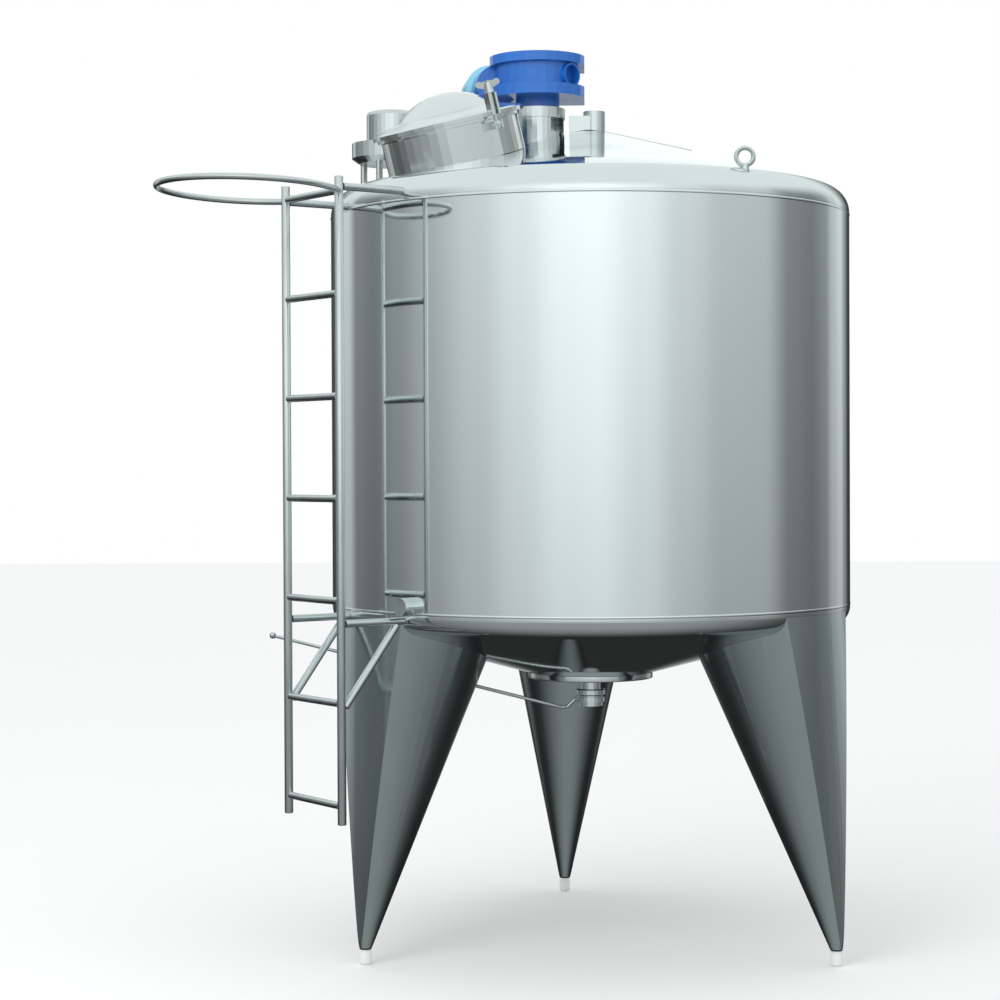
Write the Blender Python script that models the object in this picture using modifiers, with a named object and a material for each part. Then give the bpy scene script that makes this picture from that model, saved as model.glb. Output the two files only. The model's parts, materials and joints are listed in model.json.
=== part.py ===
"""Vertical stainless storage tank on three cone legs, with a manway, a top mixer and a ladder.

Units are metres, +Z is up. The model is drawn around the tank's own axis, and one empty
carries it all, placed so that the footprint's middle lies on the world origin.
Plan angles are measured from +X towards +Y. The side with the ladder and manway faces -Y.
"""

import math

import bmesh
import bpy
from mathutils import Matrix, Vector

# Fits between pieces that touch, and between a pin and its bore
GAP = 0.0003
PIN_PLAY = 0.0008

# Tank body
SHELL_RADIUS = 0.830
WALL = 0.008
BOTTOM_SEAM_Z = 1.073
TOP_SEAM_Z = 2.318
SHELL_SEGMENTS = 6
TANK_STEPS = 60
CONE_SLOPE = 0.2715
ROOF_KNUCKLE = 0.081
BOTTOM_KNUCKLE = 0.060
KNUCKLE_FACETS = 5
SUMP_RADIUS = 0.200
SUMP_DISC_THICKNESS = 0.018

# Legs and feet
LEG_FEET = {"left": (0.824, -146.8), "right": (0.867, -31.3), "back": (0.814, 96.7)}
LEG_TIP_Z = 0.053
LEG_TIP_RADIUS = 0.020
LEG_TOP_Z = 1.068
LEG_TOP_OUT = 0.668
LEG_TOP_DEPTH = 0.322
LEG_TOP_WIDTH = 0.226
LEG_SIDES = 28
FOOT_RADIUS = 0.019
FOOT_STEM_RADIUS = 0.016
FOOT_BASE_RADIUS = 0.013
FOOT_PAD_Z = (0.008, 0.040)

# Outlet, valve and its long lever
OUTLET_RADIUS = 0.032
OUTLET_LENGTH = 0.036
CLAMP_RADIUS = 0.047
CLAMP_HEIGHT = 0.022
VALVE_RADIUS = 0.035
COLLAR_HEIGHT = 0.016
VALVE_END_HEIGHT = 0.012
LEVER_RADIUS = 0.0058
LEVER_KNEE = (-0.087, 0.7395)
LEVER_END = (-1.030, 0.974)
LEVER_KNOB_RADIUS = 0.011

# Manway on the roof: plan angle and radius of the middle of its rim
MANWAY_ANGLE = math.radians(-145.3)
MANWAY_RIM_RADIUS = 0.527
MANWAY_RIM_Z = 2.575
BOLT_ANGLE = math.radians(-53.3)
NECK_RADIUS = 0.2165
NECK_WALL = 0.006
NECK_LIP_RADIUS = 0.2265
NECK_STEPS = 48
LID_RADIUS = 0.238
LID_SKIN = 0.005
LID_DOME_RADIUS = 0.156
LID_DOME_FOOT = 0.038
LID_RISE = 0.102
HINGE_OFFSET = 0.262
HINGE_HEIGHT = 0.010
HINGE_PIN_RADIUS = 0.005
BOLT_OFFSET = 0.254
BOLT_PIVOT_DROP = 0.030
BOLT_SHANK_RADIUS = 0.0065
BOLT_NUT_BOTTOM = 0.0675
BOLT_TOP = 0.1045
BOLT_SLOT_HALF = 0.0085
FORK_HALF = 0.0155

# Mixer on the roof
MIXER_X = -0.164
STAND_RADIUS = 0.084
STAND_WALL = 0.009
STAND_FLANGE_RADIUS = 0.088
STAND_FLANGE = 0.033
STAND_TOP_Z = 2.667
STAND_WINDOW_LOW_Z = 2.590
STAND_WINDOW_HALF = 0.041
STAND_WINDOW_ANGLES = (-29, 151)
SHAFT_RADIUS = 0.030
SPIGOT_RADIUS = 0.070
GEARBOX_RADIUS = 0.156
GEARBOX_LEFT = -0.152
GEARBOX_RIGHT = 0.151
GEARBOX_BACK = 0.126
GEARBOX_BOTTOM_Z = 2.699
GEARBOX_TOP_Z = 2.832
GEARBOX_LOW_FLANGE = 0.035
GEARBOX_TOP_FLANGE = 0.029
GEARBOX_WEB_INSET = 0.020
GEARBOX_BOSS_ANGLE = math.radians(-41.0)
GEARBOX_BOSS_RADIUS = 0.037
GEARBOX_BOSS_REACH = 0.150
GEARBOX_BOSS_Z = 2.763
GEARBOX_BORE_RADIUS = 0.0315
GEARBOX_BORE_FLOOR = 0.120
BARREL_RADIUS = 0.068
BARREL_START = (-0.291, -0.020, 2.742)
MOTOR_START = (-0.318, 0.135, 2.755)
MOTOR_DIRECTION = (-0.17, 0.985, 0.0)
MOTOR_RADIUS = 0.083
MOTOR_LENGTH = 0.215

# Vent, spray nozzle and its pipe, lifting lugs and boss
VENT_X = -0.640
VENT_Y = 0.060
VENT_DRUM_RADIUS = 0.130
VENT_DRUM_Z = (2.503, 2.520, 2.568)
VENT_CAN_RADIUS = 0.082
VENT_TOP_Z = 2.673
VENT_POST_RADIUS = 0.011
VENT_POST_CIRCLE = 0.100
VENT_POST_PHASE = 161
NOZZLE_X = 0.018
NOZZLE_RADIUS = 0.035
NOZZLE_TOP_Z = 2.658
BLOCK_WIDTH = 0.060
BLOCK_TOP_Z = 2.642
PIPE_RADIUS = 0.0125
PIPE_ROUTE = ((0.046, 2.5846), (0.322, 2.5243), (0.331, 2.5065), (0.336, 2.485))
LUG_ANGLES = (-53.4, 126.6)
LUG_PLAN_RADIUS = 0.772
LUG_CENTRE_Z = 2.4285
LUG_RING_RADIUS = 0.0255
LUG_BAR_RADIUS = 0.007
BOSS_ANGLE = -130.3
BOSS_Z = 1.104
BOSS_RADIUS = 0.027
BOSS_REACH = 0.042

# Ladder: its mid-line in plan, and the sizes of its tubes
LADDER_ANGLE = math.radians(-142.7)
LADDER_PLAN_RADIUS = 1.030
LADDER_HALF_WIDTH = 0.155
LADDER_SHIFT = -0.005
RAIL_RADIUS = 0.013
RAIL_Z = (0.470, 2.368)
RUNG_RADIUS = 0.011
RUNG_FIRST_Z = 0.526
RUNG_PITCH = 0.300
RUNG_COUNT = 7
HOOP_RADIUS = 0.265
HOOP_TUBE_RADIUS = 0.0095
HOOP_Z = 2.322
HOOP_SLOPE = 0.037
HOOP_POINTS = 40
STAY_RADIUS = 0.0115
UPPER_STAY_Z = {"left": 2.321, "right": 2.338}
LOWER_STAY_Z = 1.060
BRACE_FOOT_Z = 0.816
BRACE_HEAD_Z = 1.048
BRACE_HEAD_OUT = 0.838
TUBE_SIDES = 12

COLOURS = {
    "polished_steel": ((0.72, 0.76, 0.77, 1.0), 0.18, 1.0),
    "satin_steel": ((0.62, 0.66, 0.67, 1.0), 0.32, 1.0),
    "blue_casting": ((0.03, 0.22, 0.55, 1.0), 0.30, 0.2),
    "light_blue_paint": ((0.25, 0.60, 0.75, 1.0), 0.35, 0.0),
    "white_pad": ((0.85, 0.86, 0.85, 1.0), 0.50, 0.0),
    "dark_seal": ((0.02, 0.02, 0.02, 1.0), 0.50, 0.0),
}


def remove_everything():
    """Start from an empty scene."""
    for item in list(bpy.data.objects):
        bpy.data.objects.remove(item, do_unlink=True)


def make_collection(name):
    """A collection linked to the scene."""
    group = bpy.data.collections.new(name)
    bpy.context.scene.collection.children.link(group)
    return group


def make_materials():
    """One Principled material for each finish."""
    made = {}
    for name, (colour, roughness, metallic) in COLOURS.items():
        material = bpy.data.materials.new(name)
        material.use_nodes = True
        shader = material.node_tree.nodes["Principled BSDF"]
        shader.inputs["Base Color"].default_value = colour
        shader.inputs["Roughness"].default_value = roughness
        shader.inputs["Metallic"].default_value = metallic
        made[name] = material
    return made


remove_everything()
PARTS = make_collection("storage_tank")
CUTTERS = make_collection("cutters")
MATERIALS = make_materials()


def make_empty(name, matrix, parent=None):
    """A frame that pieces hang from."""
    frame = bpy.data.objects.new(name, None)
    PARTS.objects.link(frame)
    frame.parent = parent
    frame.matrix_local = matrix
    return frame


def hoop_centre():
    """The ladder hoop's centre: its circle runs through both rails."""
    reach = math.sqrt(HOOP_RADIUS**2 - LADDER_HALF_WIDTH**2)
    return ladder_point(LADDER_PLAN_RADIUS + reach, 0.0)


def ladder_point(out, along):
    """Plan position from the distance out from the tank's axis and along the rungs."""
    outward = Vector((math.cos(LADDER_ANGLE), math.sin(LADDER_ANGLE)))
    sideways = Vector((-outward.y, outward.x))
    return outward * out + sideways * (along + LADDER_SHIFT)


def footprint_offset():
    """Moves the middle of the plan outline onto the world origin."""
    far = hoop_centre() - Vector((1.0, 1.0)) * (HOOP_RADIUS + HOOP_TUBE_RADIUS)
    return Vector(((-far.x - SHELL_RADIUS) / 2, (-far.y - SHELL_RADIUS) / 2, 0.0))


TANK = make_empty("tank_axis", Matrix.Translation(footprint_offset()))


def add_piece(name, mesh, finish, matrix=None, parent=TANK):
    """A named sub-part with its own finish."""
    piece = bpy.data.objects.new(name, mesh)
    PARTS.objects.link(piece)
    piece.parent = parent
    piece.matrix_local = matrix or Matrix.Identity(4)
    mesh.materials.append(MATERIALS[finish])
    return piece


def add_cutter(name, mesh, matrix=None, parent=TANK):
    """A shape that only cuts or joins, never shown."""
    cutter = bpy.data.objects.new(name, mesh)
    CUTTERS.objects.link(cutter)
    cutter.parent = parent
    cutter.matrix_local = matrix or Matrix.Identity(4)
    cutter.hide_render = True
    cutter.display_type = "WIRE"
    return cutter


def add_boolean(piece, tool, operation="DIFFERENCE"):
    """Cut a piece with a tool, or join the tool to it."""
    modifier = piece.modifiers.new(tool.name, "BOOLEAN")
    modifier.operation = operation
    modifier.solver = "EXACT"
    modifier.object = tool


def box_mesh(name, low, high):
    """A box between two corners."""
    low = Vector(low)
    size = Vector(high) - low
    shape = bmesh.new()
    bmesh.ops.create_cube(shape, size=1.0)
    bmesh.ops.scale(shape, vec=size, verts=shape.verts)
    bmesh.ops.translate(shape, vec=low + size / 2, verts=shape.verts)
    return finish_mesh(name, shape)


def finish_mesh(name, shape, smooth=False):
    """Turn an edit mesh into mesh data, shaded smooth up to 40 degrees if asked."""
    mesh = bpy.data.meshes.new(name)
    bmesh.ops.recalc_face_normals(shape, faces=shape.faces)
    shape.to_mesh(mesh)
    shape.free()
    if smooth:
        shade_round(mesh)
    return mesh


def shade_round(mesh):
    """Smooth shading that keeps the sharp edges."""
    mesh.shade_smooth()
    mesh.set_sharp_from_angle(angle=math.radians(40))


def cylinder_mesh(name, radius, low, high, sides, top_radius=None):
    """An upright cylinder or cone frustum between two heights."""
    shape = bmesh.new()
    bmesh.ops.create_cone(
        shape,
        cap_ends=True,
        segments=sides,
        radius1=radius,
        radius2=radius if top_radius is None else top_radius,
        depth=high - low,
    )
    bmesh.ops.translate(shape, vec=(0, 0, (low + high) / 2), verts=shape.verts)
    return finish_mesh(name, shape, smooth=True)


def axis_matrix(start, direction, side=None):
    """A frame at a point whose Z runs along a direction, and whose X leans to a side."""
    z_axis = Vector(direction).normalized()
    hint = Vector(side) if side else (Vector((0, 0, 1)) if abs(z_axis.z) < 0.9 else Vector((1, 0, 0)))
    y_axis = z_axis.cross(hint).normalized()
    x_axis = y_axis.cross(z_axis)
    turn = Matrix((x_axis, y_axis, z_axis)).transposed().to_4x4()
    return Matrix.Translation(Vector(start)) @ turn


def rod_between(name, start, end, radius, sides=TUBE_SIDES):
    """A straight round bar, with the matrix that puts it in place."""
    span = Vector(end) - Vector(start)
    mesh = cylinder_mesh(name, radius, 0.0, span.length, sides)
    return mesh, axis_matrix(start, span)


def profile_mesh(name, profile, closed=True):
    """The edges of a profile in the XZ plane, down its outer side first."""
    count = len(profile)
    edges = [(i, i + 1) for i in range(count - 1)]
    if closed:
        edges.append((count - 1, 0))
    mesh = bpy.data.meshes.new(name)
    mesh.from_pydata([(x, 0.0, z) for x, z in profile], edges, [])
    return mesh


def add_screw(piece, steps):
    """Turn a profile once round its own Z axis."""
    turn = piece.modifiers.new("turn", "SCREW")
    turn.axis = "Z"
    turn.steps = steps
    turn.render_steps = steps
    turn.use_merge_vertices = True
    turn.merge_threshold = 0.00001
    turn.use_smooth_shade = True


def turned_piece(name, profile, finish, steps, matrix=None, parent=TANK, closed=True):
    """A turned sub-part."""
    piece = add_piece(name, profile_mesh(name, profile, closed), finish, matrix, parent)
    add_screw(piece, steps)
    return piece


def turned_cutter(name, profile, steps, matrix=None, parent=TANK, closed=False):
    """A turned shape that only cuts."""
    cutter = add_cutter(name, profile_mesh(name, profile, closed), matrix, parent)
    add_screw(cutter, steps)
    return cutter


def outline_mesh(name, points, half_thickness):
    """A flat outline in its own XY plane, thickened both ways."""
    curve = bpy.data.curves.new(name + "_outline", "CURVE")
    curve.dimensions = "2D"
    curve.fill_mode = "BOTH"
    curve.extrude = half_thickness
    spline = curve.splines.new("POLY")
    spline.points.add(len(points) - 1)
    for point, (x, y) in zip(spline.points, points):
        point.co = (x, y, 0.0, 1.0)
    spline.use_cyclic_u = True
    return mesh_from_curve(name, curve)


def tube_mesh(name, points, radius, resolution=2):
    """A round bar along a line of points, with closed ends."""
    curve = bpy.data.curves.new(name + "_line", "CURVE")
    curve.dimensions = "3D"
    curve.bevel_depth = radius
    curve.bevel_resolution = resolution
    curve.use_fill_caps = True
    spline = curve.splines.new("POLY")
    spline.points.add(len(points) - 1)
    for point, place in zip(spline.points, points):
        point.co = (*place, 1.0)
    return mesh_from_curve(name, curve)


def mesh_from_curve(name, curve):
    """The closed mesh of a curve, with its caps joined on."""
    holder = bpy.data.objects.new(name + "_curve", curve)
    bpy.context.scene.collection.objects.link(holder)
    scene_graph = bpy.context.evaluated_depsgraph_get()
    mesh = bpy.data.meshes.new_from_object(holder.evaluated_get(scene_graph))
    bpy.data.objects.remove(holder)
    bpy.data.curves.remove(curve)
    shape = bmesh.new()
    shape.from_mesh(mesh)
    bpy.data.meshes.remove(mesh)
    bmesh.ops.remove_doubles(shape, verts=shape.verts, dist=0.00001)
    return finish_mesh(name, shape, smooth=True)


def arc_points(centre, radius, start, end, facets):
    """Points on an arc, angles in radians, both ends included."""
    points = []
    for i in range(facets + 1):
        angle = start + (end - start) * i / facets
        points.append((centre[0] + radius * math.cos(angle), centre[1] + radius * math.sin(angle)))
    return points


SLOPE_ANGLE = math.atan(CONE_SLOPE)
KNUCKLE_SWEEP = math.pi / 2 - SLOPE_ANGLE


def roof_edge(offset=0.0):
    """The roof's shoulder arc, from its top down to the shell, moved out by an offset."""
    centre = (SHELL_RADIUS - ROOF_KNUCKLE, TOP_SEAM_Z)
    return arc_points(centre, ROOF_KNUCKLE + offset, KNUCKLE_SWEEP, 0.0, KNUCKLE_FACETS)


def bottom_edge(offset=0.0):
    """The bottom's knuckle arc, from the shell in to the cone, moved out by an offset."""
    centre = (SHELL_RADIUS - BOTTOM_KNUCKLE, BOTTOM_SEAM_Z)
    return arc_points(centre, BOTTOM_KNUCKLE + offset, 0.0, -KNUCKLE_SWEEP, KNUCKLE_FACETS)


def roof_height(radius, offset=0.0):
    """Height of the roof cone's outer face at a distance from the axis."""
    foot_radius, foot_z = roof_edge()[0]
    rise = offset * math.hypot(1.0, CONE_SLOPE)
    return foot_z + CONE_SLOPE * (foot_radius - radius) + rise


def bottom_height(radius, offset=0.0):
    """Height of the bottom cone's outer face at a distance from the axis."""
    foot_radius, foot_z = bottom_edge()[-1]
    drop = offset * math.hypot(1.0, CONE_SLOPE)
    return foot_z - CONE_SLOPE * (foot_radius - radius) - drop


def make_tank_guide():
    """The whole tank's outer form, a gap larger: it trims what stands against the tank."""
    profile = [(0.0, roof_height(0.0, GAP))]
    profile += roof_edge(GAP)
    profile += bottom_edge(GAP)
    profile.append((0.0, bottom_height(0.0, GAP)))
    return turned_cutter("tank_form", profile, TANK_STEPS)


TANK_FORM = make_tank_guide()


def make_shell():
    """The upright wall, in equal curved plates."""
    step = 2 * math.pi / TANK_STEPS
    facets = TANK_STEPS // SHELL_SEGMENTS
    seam = GAP / 2 / SHELL_RADIUS
    height = TOP_SEAM_Z - BOTTOM_SEAM_Z - GAP
    middle = Matrix.Translation((0, 0, (TOP_SEAM_Z + BOTTOM_SEAM_Z) / 2))
    for i in range(SHELL_SEGMENTS):
        start = i * facets * step
        angles = [start + j * step for j in range(facets + 1)]
        angles[0] += seam
        angles[-1] -= seam
        outer = [(SHELL_RADIUS * math.cos(a), SHELL_RADIUS * math.sin(a)) for a in angles]
        inner_radius = SHELL_RADIUS - WALL
        inner = [(inner_radius * math.cos(a), inner_radius * math.sin(a)) for a in reversed(angles)]
        name = f"shell_plate_{i + 1}"
        add_piece(name, outline_mesh(name, outer + inner, height / 2), "polished_steel", middle)


def make_roof():
    """The shoulder ring and the cone roof, with the manway's hole through the cone."""
    shoulder = roof_edge() + list(reversed(roof_edge(-WALL)))
    turned_piece("roof_shoulder", shoulder, "polished_steel", TANK_STEPS)
    outer_radius = roof_edge()[0][0]
    normal = Vector((math.sin(SLOPE_ANGLE), math.cos(SLOPE_ANGLE)))
    rim = Vector((outer_radius, roof_height(outer_radius)))
    rim += Vector((-normal.y, normal.x)) * GAP
    inner_rim = rim - normal * WALL
    drop = WALL * math.hypot(1.0, CONE_SLOPE)
    profile = [
        (0.0, roof_height(0.0)),
        tuple(rim),
        tuple(inner_rim),
        (0.0, roof_height(0.0) - drop),
    ]
    cone = turned_piece("roof_cone", profile, "polished_steel", TANK_STEPS, closed=False)
    hole = cylinder_mesh("manway_hole", NECK_RADIUS - NECK_WALL, -0.12, 0.12, NECK_STEPS)
    add_boolean(cone, add_cutter("manway_hole", hole, parent=MANWAY))


def make_bottom():
    """The dished bottom, and the flat disc that closes its middle."""
    inner_arc = list(reversed(bottom_edge(-WALL)))
    drop = WALL * math.hypot(1.0, CONE_SLOPE)
    profile = bottom_edge()
    profile.append((SUMP_RADIUS, bottom_height(SUMP_RADIUS)))
    profile.append((SUMP_RADIUS, bottom_height(SUMP_RADIUS) + drop))
    profile += inner_arc
    turned_piece("bottom_dish", [(x, z - GAP) for x, z in profile], "polished_steel", TANK_STEPS)
    top = bottom_height(SUMP_RADIUS) - 2 * GAP
    profile = [
        (0.0, top),
        (SUMP_RADIUS, top),
        (SUMP_RADIUS, top - SUMP_DISC_THICKNESS),
        (0.0, top - SUMP_DISC_THICKNESS),
    ]
    turned_piece("bottom_disc", profile, "polished_steel", TANK_STEPS, closed=False)
    return top - SUMP_DISC_THICKNESS


def make_legs():
    """Three cone legs whose outer side carries on the shell's curve, and their feet."""
    for label, (reach, degrees) in LEG_FEET.items():
        angle = math.radians(degrees)
        outward = Vector((math.cos(angle), math.sin(angle), 0.0))
        mesh = leg_mesh(f"leg_{label}", reach)
        leg = add_piece(f"leg_{label}", mesh, "satin_steel", Matrix.Rotation(angle, 4, "Z"))
        add_boolean(leg, add_cutter(f"leg_{label}_face", leg_face(reach)), "INTERSECT")
        add_boolean(leg, TANK_FORM)
        make_foot(label, outward * reach)


def leg_face(reach, offset=0.0):
    """The steep cone round the tank's axis that bounds a leg's outer side."""
    low_radius = reach + LEG_TIP_RADIUS + offset
    high_radius = SHELL_RADIUS - GAP + offset
    return cylinder_mesh(
        "leg_face", low_radius, LEG_TIP_Z, LEG_TOP_Z + 8 * offset, TANK_STEPS, high_radius
    )


def leg_mesh(name, reach):
    """A cone from a small round tip to a wide oval top that lies nearer the tank's axis."""
    shape = bmesh.new()
    bmesh.ops.create_cone(
        shape,
        cap_ends=True,
        segments=LEG_SIDES,
        radius1=LEG_TIP_RADIUS,
        radius2=1.0,
        depth=LEG_TOP_Z - LEG_TIP_Z,
    )
    bmesh.ops.translate(shape, vec=(0, 0, (LEG_TOP_Z + LEG_TIP_Z) / 2), verts=shape.verts)
    middle = (LEG_TOP_Z + LEG_TIP_Z) / 2
    tip = [vert for vert in shape.verts if vert.co.z < middle]
    top = [vert for vert in shape.verts if vert.co.z > middle]
    bmesh.ops.translate(shape, vec=(reach, 0, 0), verts=tip)
    bmesh.ops.scale(shape, vec=(LEG_TOP_DEPTH, LEG_TOP_WIDTH, 1.0), verts=top)
    bmesh.ops.translate(shape, vec=(LEG_TOP_OUT, 0, 0), verts=top)
    return finish_mesh(name, shape, smooth=True)


def make_foot(label, place):
    """A levelling foot: a stem under the leg's tip and a round pad."""
    pad_low, pad_high = FOOT_PAD_Z
    profile = [
        (0.0, LEG_TIP_Z - GAP),
        (FOOT_STEM_RADIUS, LEG_TIP_Z - GAP),
        (FOOT_STEM_RADIUS, pad_high + 0.001),
        (FOOT_RADIUS, pad_high - 0.001),
        (FOOT_RADIUS, pad_low),
        (FOOT_BASE_RADIUS, 0.0),
        (0.0, 0.0),
    ]
    matrix = Matrix.Translation(place)
    turned_piece(f"foot_{label}", profile, "white_pad", 20, matrix, closed=False)


def make_outlet(top):
    """The outlet pipe with its clamp, the valve below it and the valve's long lever."""
    pipe_low = top - OUTLET_LENGTH
    clamp_low = pipe_low - CLAMP_HEIGHT
    profile = [
        (0.0, top - GAP),
        (OUTLET_RADIUS, top - GAP),
        (OUTLET_RADIUS, pipe_low),
        (CLAMP_RADIUS * 0.9, pipe_low),
        (CLAMP_RADIUS, pipe_low - 0.004),
        (CLAMP_RADIUS, clamp_low + 0.004),
        (CLAMP_RADIUS * 0.9, clamp_low),
        (0.0, clamp_low),
    ]
    turned_piece("outlet_pipe", profile, "satin_steel", 24, closed=False)
    valve_top = clamp_low - GAP
    collar_top = valve_top - 0.004
    collar_low = collar_top - COLLAR_HEIGHT
    body_low = collar_low - 0.001
    profile = [
        (0.0, valve_top),
        (VALVE_RADIUS + 0.004, valve_top),
        (VALVE_RADIUS + 0.004, collar_top + 0.001),
        (VALVE_RADIUS, collar_top + 0.001),
        (VALVE_RADIUS, body_low),
        (VALVE_RADIUS + 0.004, body_low),
        (VALVE_RADIUS + 0.004, body_low - VALVE_END_HEIGHT),
        (0.0, body_low - VALVE_END_HEIGHT),
    ]
    turned_piece("drain_valve", profile, "satin_steel", 24, closed=False)
    make_lever(collar_low, collar_top)


def make_lever(low, high):
    """A collar round the valve with a bent bar out past the shell, ending in a knob."""
    inner = VALVE_RADIUS + PIN_PLAY
    outer = VALVE_RADIUS + 0.010
    profile = [(outer, high), (outer, low), (inner, low), (inner, high)]
    lever = turned_piece("drain_lever", profile, "satin_steel", 24, parent=LEVER_AXIS)
    middle = (low + high) / 2
    route = [
        (-(VALVE_RADIUS + 0.0045), 0.0, middle),
        (-(VALVE_RADIUS + 0.016), 0.0, middle - 0.001),
        (LEVER_KNEE[0] + 0.012, 0.0, LEVER_KNEE[1] + 0.003),
        (LEVER_KNEE[0] - 0.006, 0.0, LEVER_KNEE[1] + 0.0005),
        (LEVER_KNEE[0] - 0.030, 0.0, LEVER_KNEE[1] + 0.0065),
        (LEVER_END[0], 0.0, LEVER_END[1]),
    ]
    bar = add_cutter("lever_bar", tube_mesh("lever_bar", route, LEVER_RADIUS, 3), parent=LEVER_AXIS)
    add_boolean(lever, bar, "UNION")
    shape = bmesh.new()
    bmesh.ops.create_uvsphere(shape, u_segments=12, v_segments=8, radius=LEVER_KNOB_RADIUS)
    bmesh.ops.translate(shape, vec=(LEVER_END[0], 0.0, LEVER_END[1]), verts=shape.verts)
    knob = add_cutter("lever_knob", finish_mesh("lever_knob", shape, True), parent=LEVER_AXIS)
    add_boolean(lever, knob, "UNION")


def manway_frame():
    """Frame on the roof under the manway: Z out of the roof, X towards the swing bolt."""
    outward = Vector((math.cos(MANWAY_ANGLE), math.sin(MANWAY_ANGLE), 0.0))
    normal = outward * math.sin(SLOPE_ANGLE) + Vector((0, 0, math.cos(SLOPE_ANGLE)))
    towards_bolt = Vector((math.cos(BOLT_ANGLE), math.sin(BOLT_ANGLE), 0.0))
    rim = outward * MANWAY_RIM_RADIUS + Vector((0, 0, MANWAY_RIM_Z))
    surface = roof_height(MANWAY_RIM_RADIUS)
    height = (MANWAY_RIM_Z - surface) * math.cos(SLOPE_ANGLE)
    return axis_matrix(rim - normal * height, normal, towards_bolt), height


MANWAY_MATRIX, RIM_HEIGHT = manway_frame()
MANWAY = make_empty("manway_frame", MANWAY_MATRIX, TANK)
LID_AXIS_PLACE = (-HINGE_OFFSET, 0.0, RIM_HEIGHT + HINGE_HEIGHT)
LID_AXIS = make_empty("lid_hinge_axis", Matrix.Translation(LID_AXIS_PLACE), MANWAY)
BOLT_AXIS_PLACE = (BOLT_OFFSET, 0.0, RIM_HEIGHT - BOLT_PIVOT_DROP)
BOLT_AXIS = make_empty("lid_bolt_axis", Matrix.Translation(BOLT_AXIS_PLACE), MANWAY)
LEVER_AXIS = make_empty("drain_lever_axis", Matrix.Identity(4), TANK)


def lug_pair(piece, name, low, high, inner_face):
    """Join two cheek plates to a piece, mirrored across its own XZ plane."""
    thickness = high[1] - low[1]
    for side, label in ((1, "a"), (-1, "b")):
        near = side * inner_face
        far = side * (inner_face + thickness)
        first = (low[0], min(near, far), low[2])
        second = (high[0], max(near, far), high[2])
        plate = add_cutter(f"{name}_{label}", box_mesh(name, first, second), parent=MANWAY)
        add_boolean(piece, plate, "UNION")


def cross_pin(name, place, radius, half_length, sides=16):
    """A bar along Y through a place in the manway's frame."""
    mesh = cylinder_mesh(name, radius, -half_length, half_length, sides)
    turn = Matrix.Rotation(math.pi / 2, 4, "X")
    return add_cutter(name, mesh, Matrix.Translation(Vector(place)) @ turn, MANWAY)


def make_neck():
    """The manway's neck with a rolled lip, its hinge cheeks and its bolt cheeks."""
    inner = NECK_RADIUS - NECK_WALL
    top = RIM_HEIGHT - GAP
    profile = [
        (inner, top),
        (NECK_LIP_RADIUS, top),
        (NECK_LIP_RADIUS, top - 0.008),
        (NECK_RADIUS, top - 0.012),
        (NECK_RADIUS, -0.060),
        (inner, -0.060),
    ]
    neck = turned_piece("manway_neck", profile, "polished_steel", NECK_STEPS, parent=MANWAY)
    hinge_z = LID_AXIS_PLACE[2]
    root = NECK_RADIUS - 0.004
    behind = -HINGE_OFFSET - 0.010
    shelf_z = RIM_HEIGHT - 0.007
    hinge_root = ((behind, 0.0, RIM_HEIGHT - 0.055), (-root, 0.008, shelf_z))
    lug_pair(neck, "hinge_root", *hinge_root, 0.0215)
    hinge_ear = ((behind, 0.0, shelf_z - 0.004), (behind + 0.020, 0.008, hinge_z + 0.010))
    lug_pair(neck, "hinge_ear", *hinge_ear, 0.0215)
    add_boolean(neck, cross_pin("hinge_pin", LID_AXIS_PLACE, HINGE_PIN_RADIUS, 0.034), "UNION")
    bolt_z = BOLT_AXIS_PLACE[2]
    lug_pair(
        neck,
        "bolt_cheek",
        (root, 0.0, bolt_z - 0.012),
        (BOLT_OFFSET + 0.012, 0.006, bolt_z + 0.012),
        0.0095,
    )
    add_boolean(neck, cross_pin("bolt_pin", BOLT_AXIS_PLACE, 0.004, 0.0185), "UNION")
    add_boolean(neck, TANK_FORM)


def lid_profile():
    """The lid's skin: dome, cone skirt and flat rim, and back along its inside."""
    half = LID_DOME_RADIUS
    rise = LID_RISE - LID_DOME_FOOT
    sphere = (half**2 + rise**2) / (2 * rise)
    spread = math.asin(half / sphere)
    centre = (0.0, LID_RISE - sphere)
    outer = arc_points(centre, sphere, math.pi / 2, math.pi / 2 - spread, 7)
    inner = arc_points(centre, sphere - LID_SKIN, math.pi / 2 - spread, math.pi / 2, 7)
    outer[0] = (0.0, LID_RISE)
    inner[-1] = (0.0, LID_RISE - LID_SKIN)
    rim = [
        (LID_RADIUS - 0.006, 0.017),
        (LID_RADIUS, 0.012),
        (LID_RADIUS, 0.0),
        (NECK_RADIUS - NECK_WALL - 0.004, 0.0),
        (NECK_RADIUS - NECK_WALL - 0.006, 0.016),
    ]
    return outer + rim + inner


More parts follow.
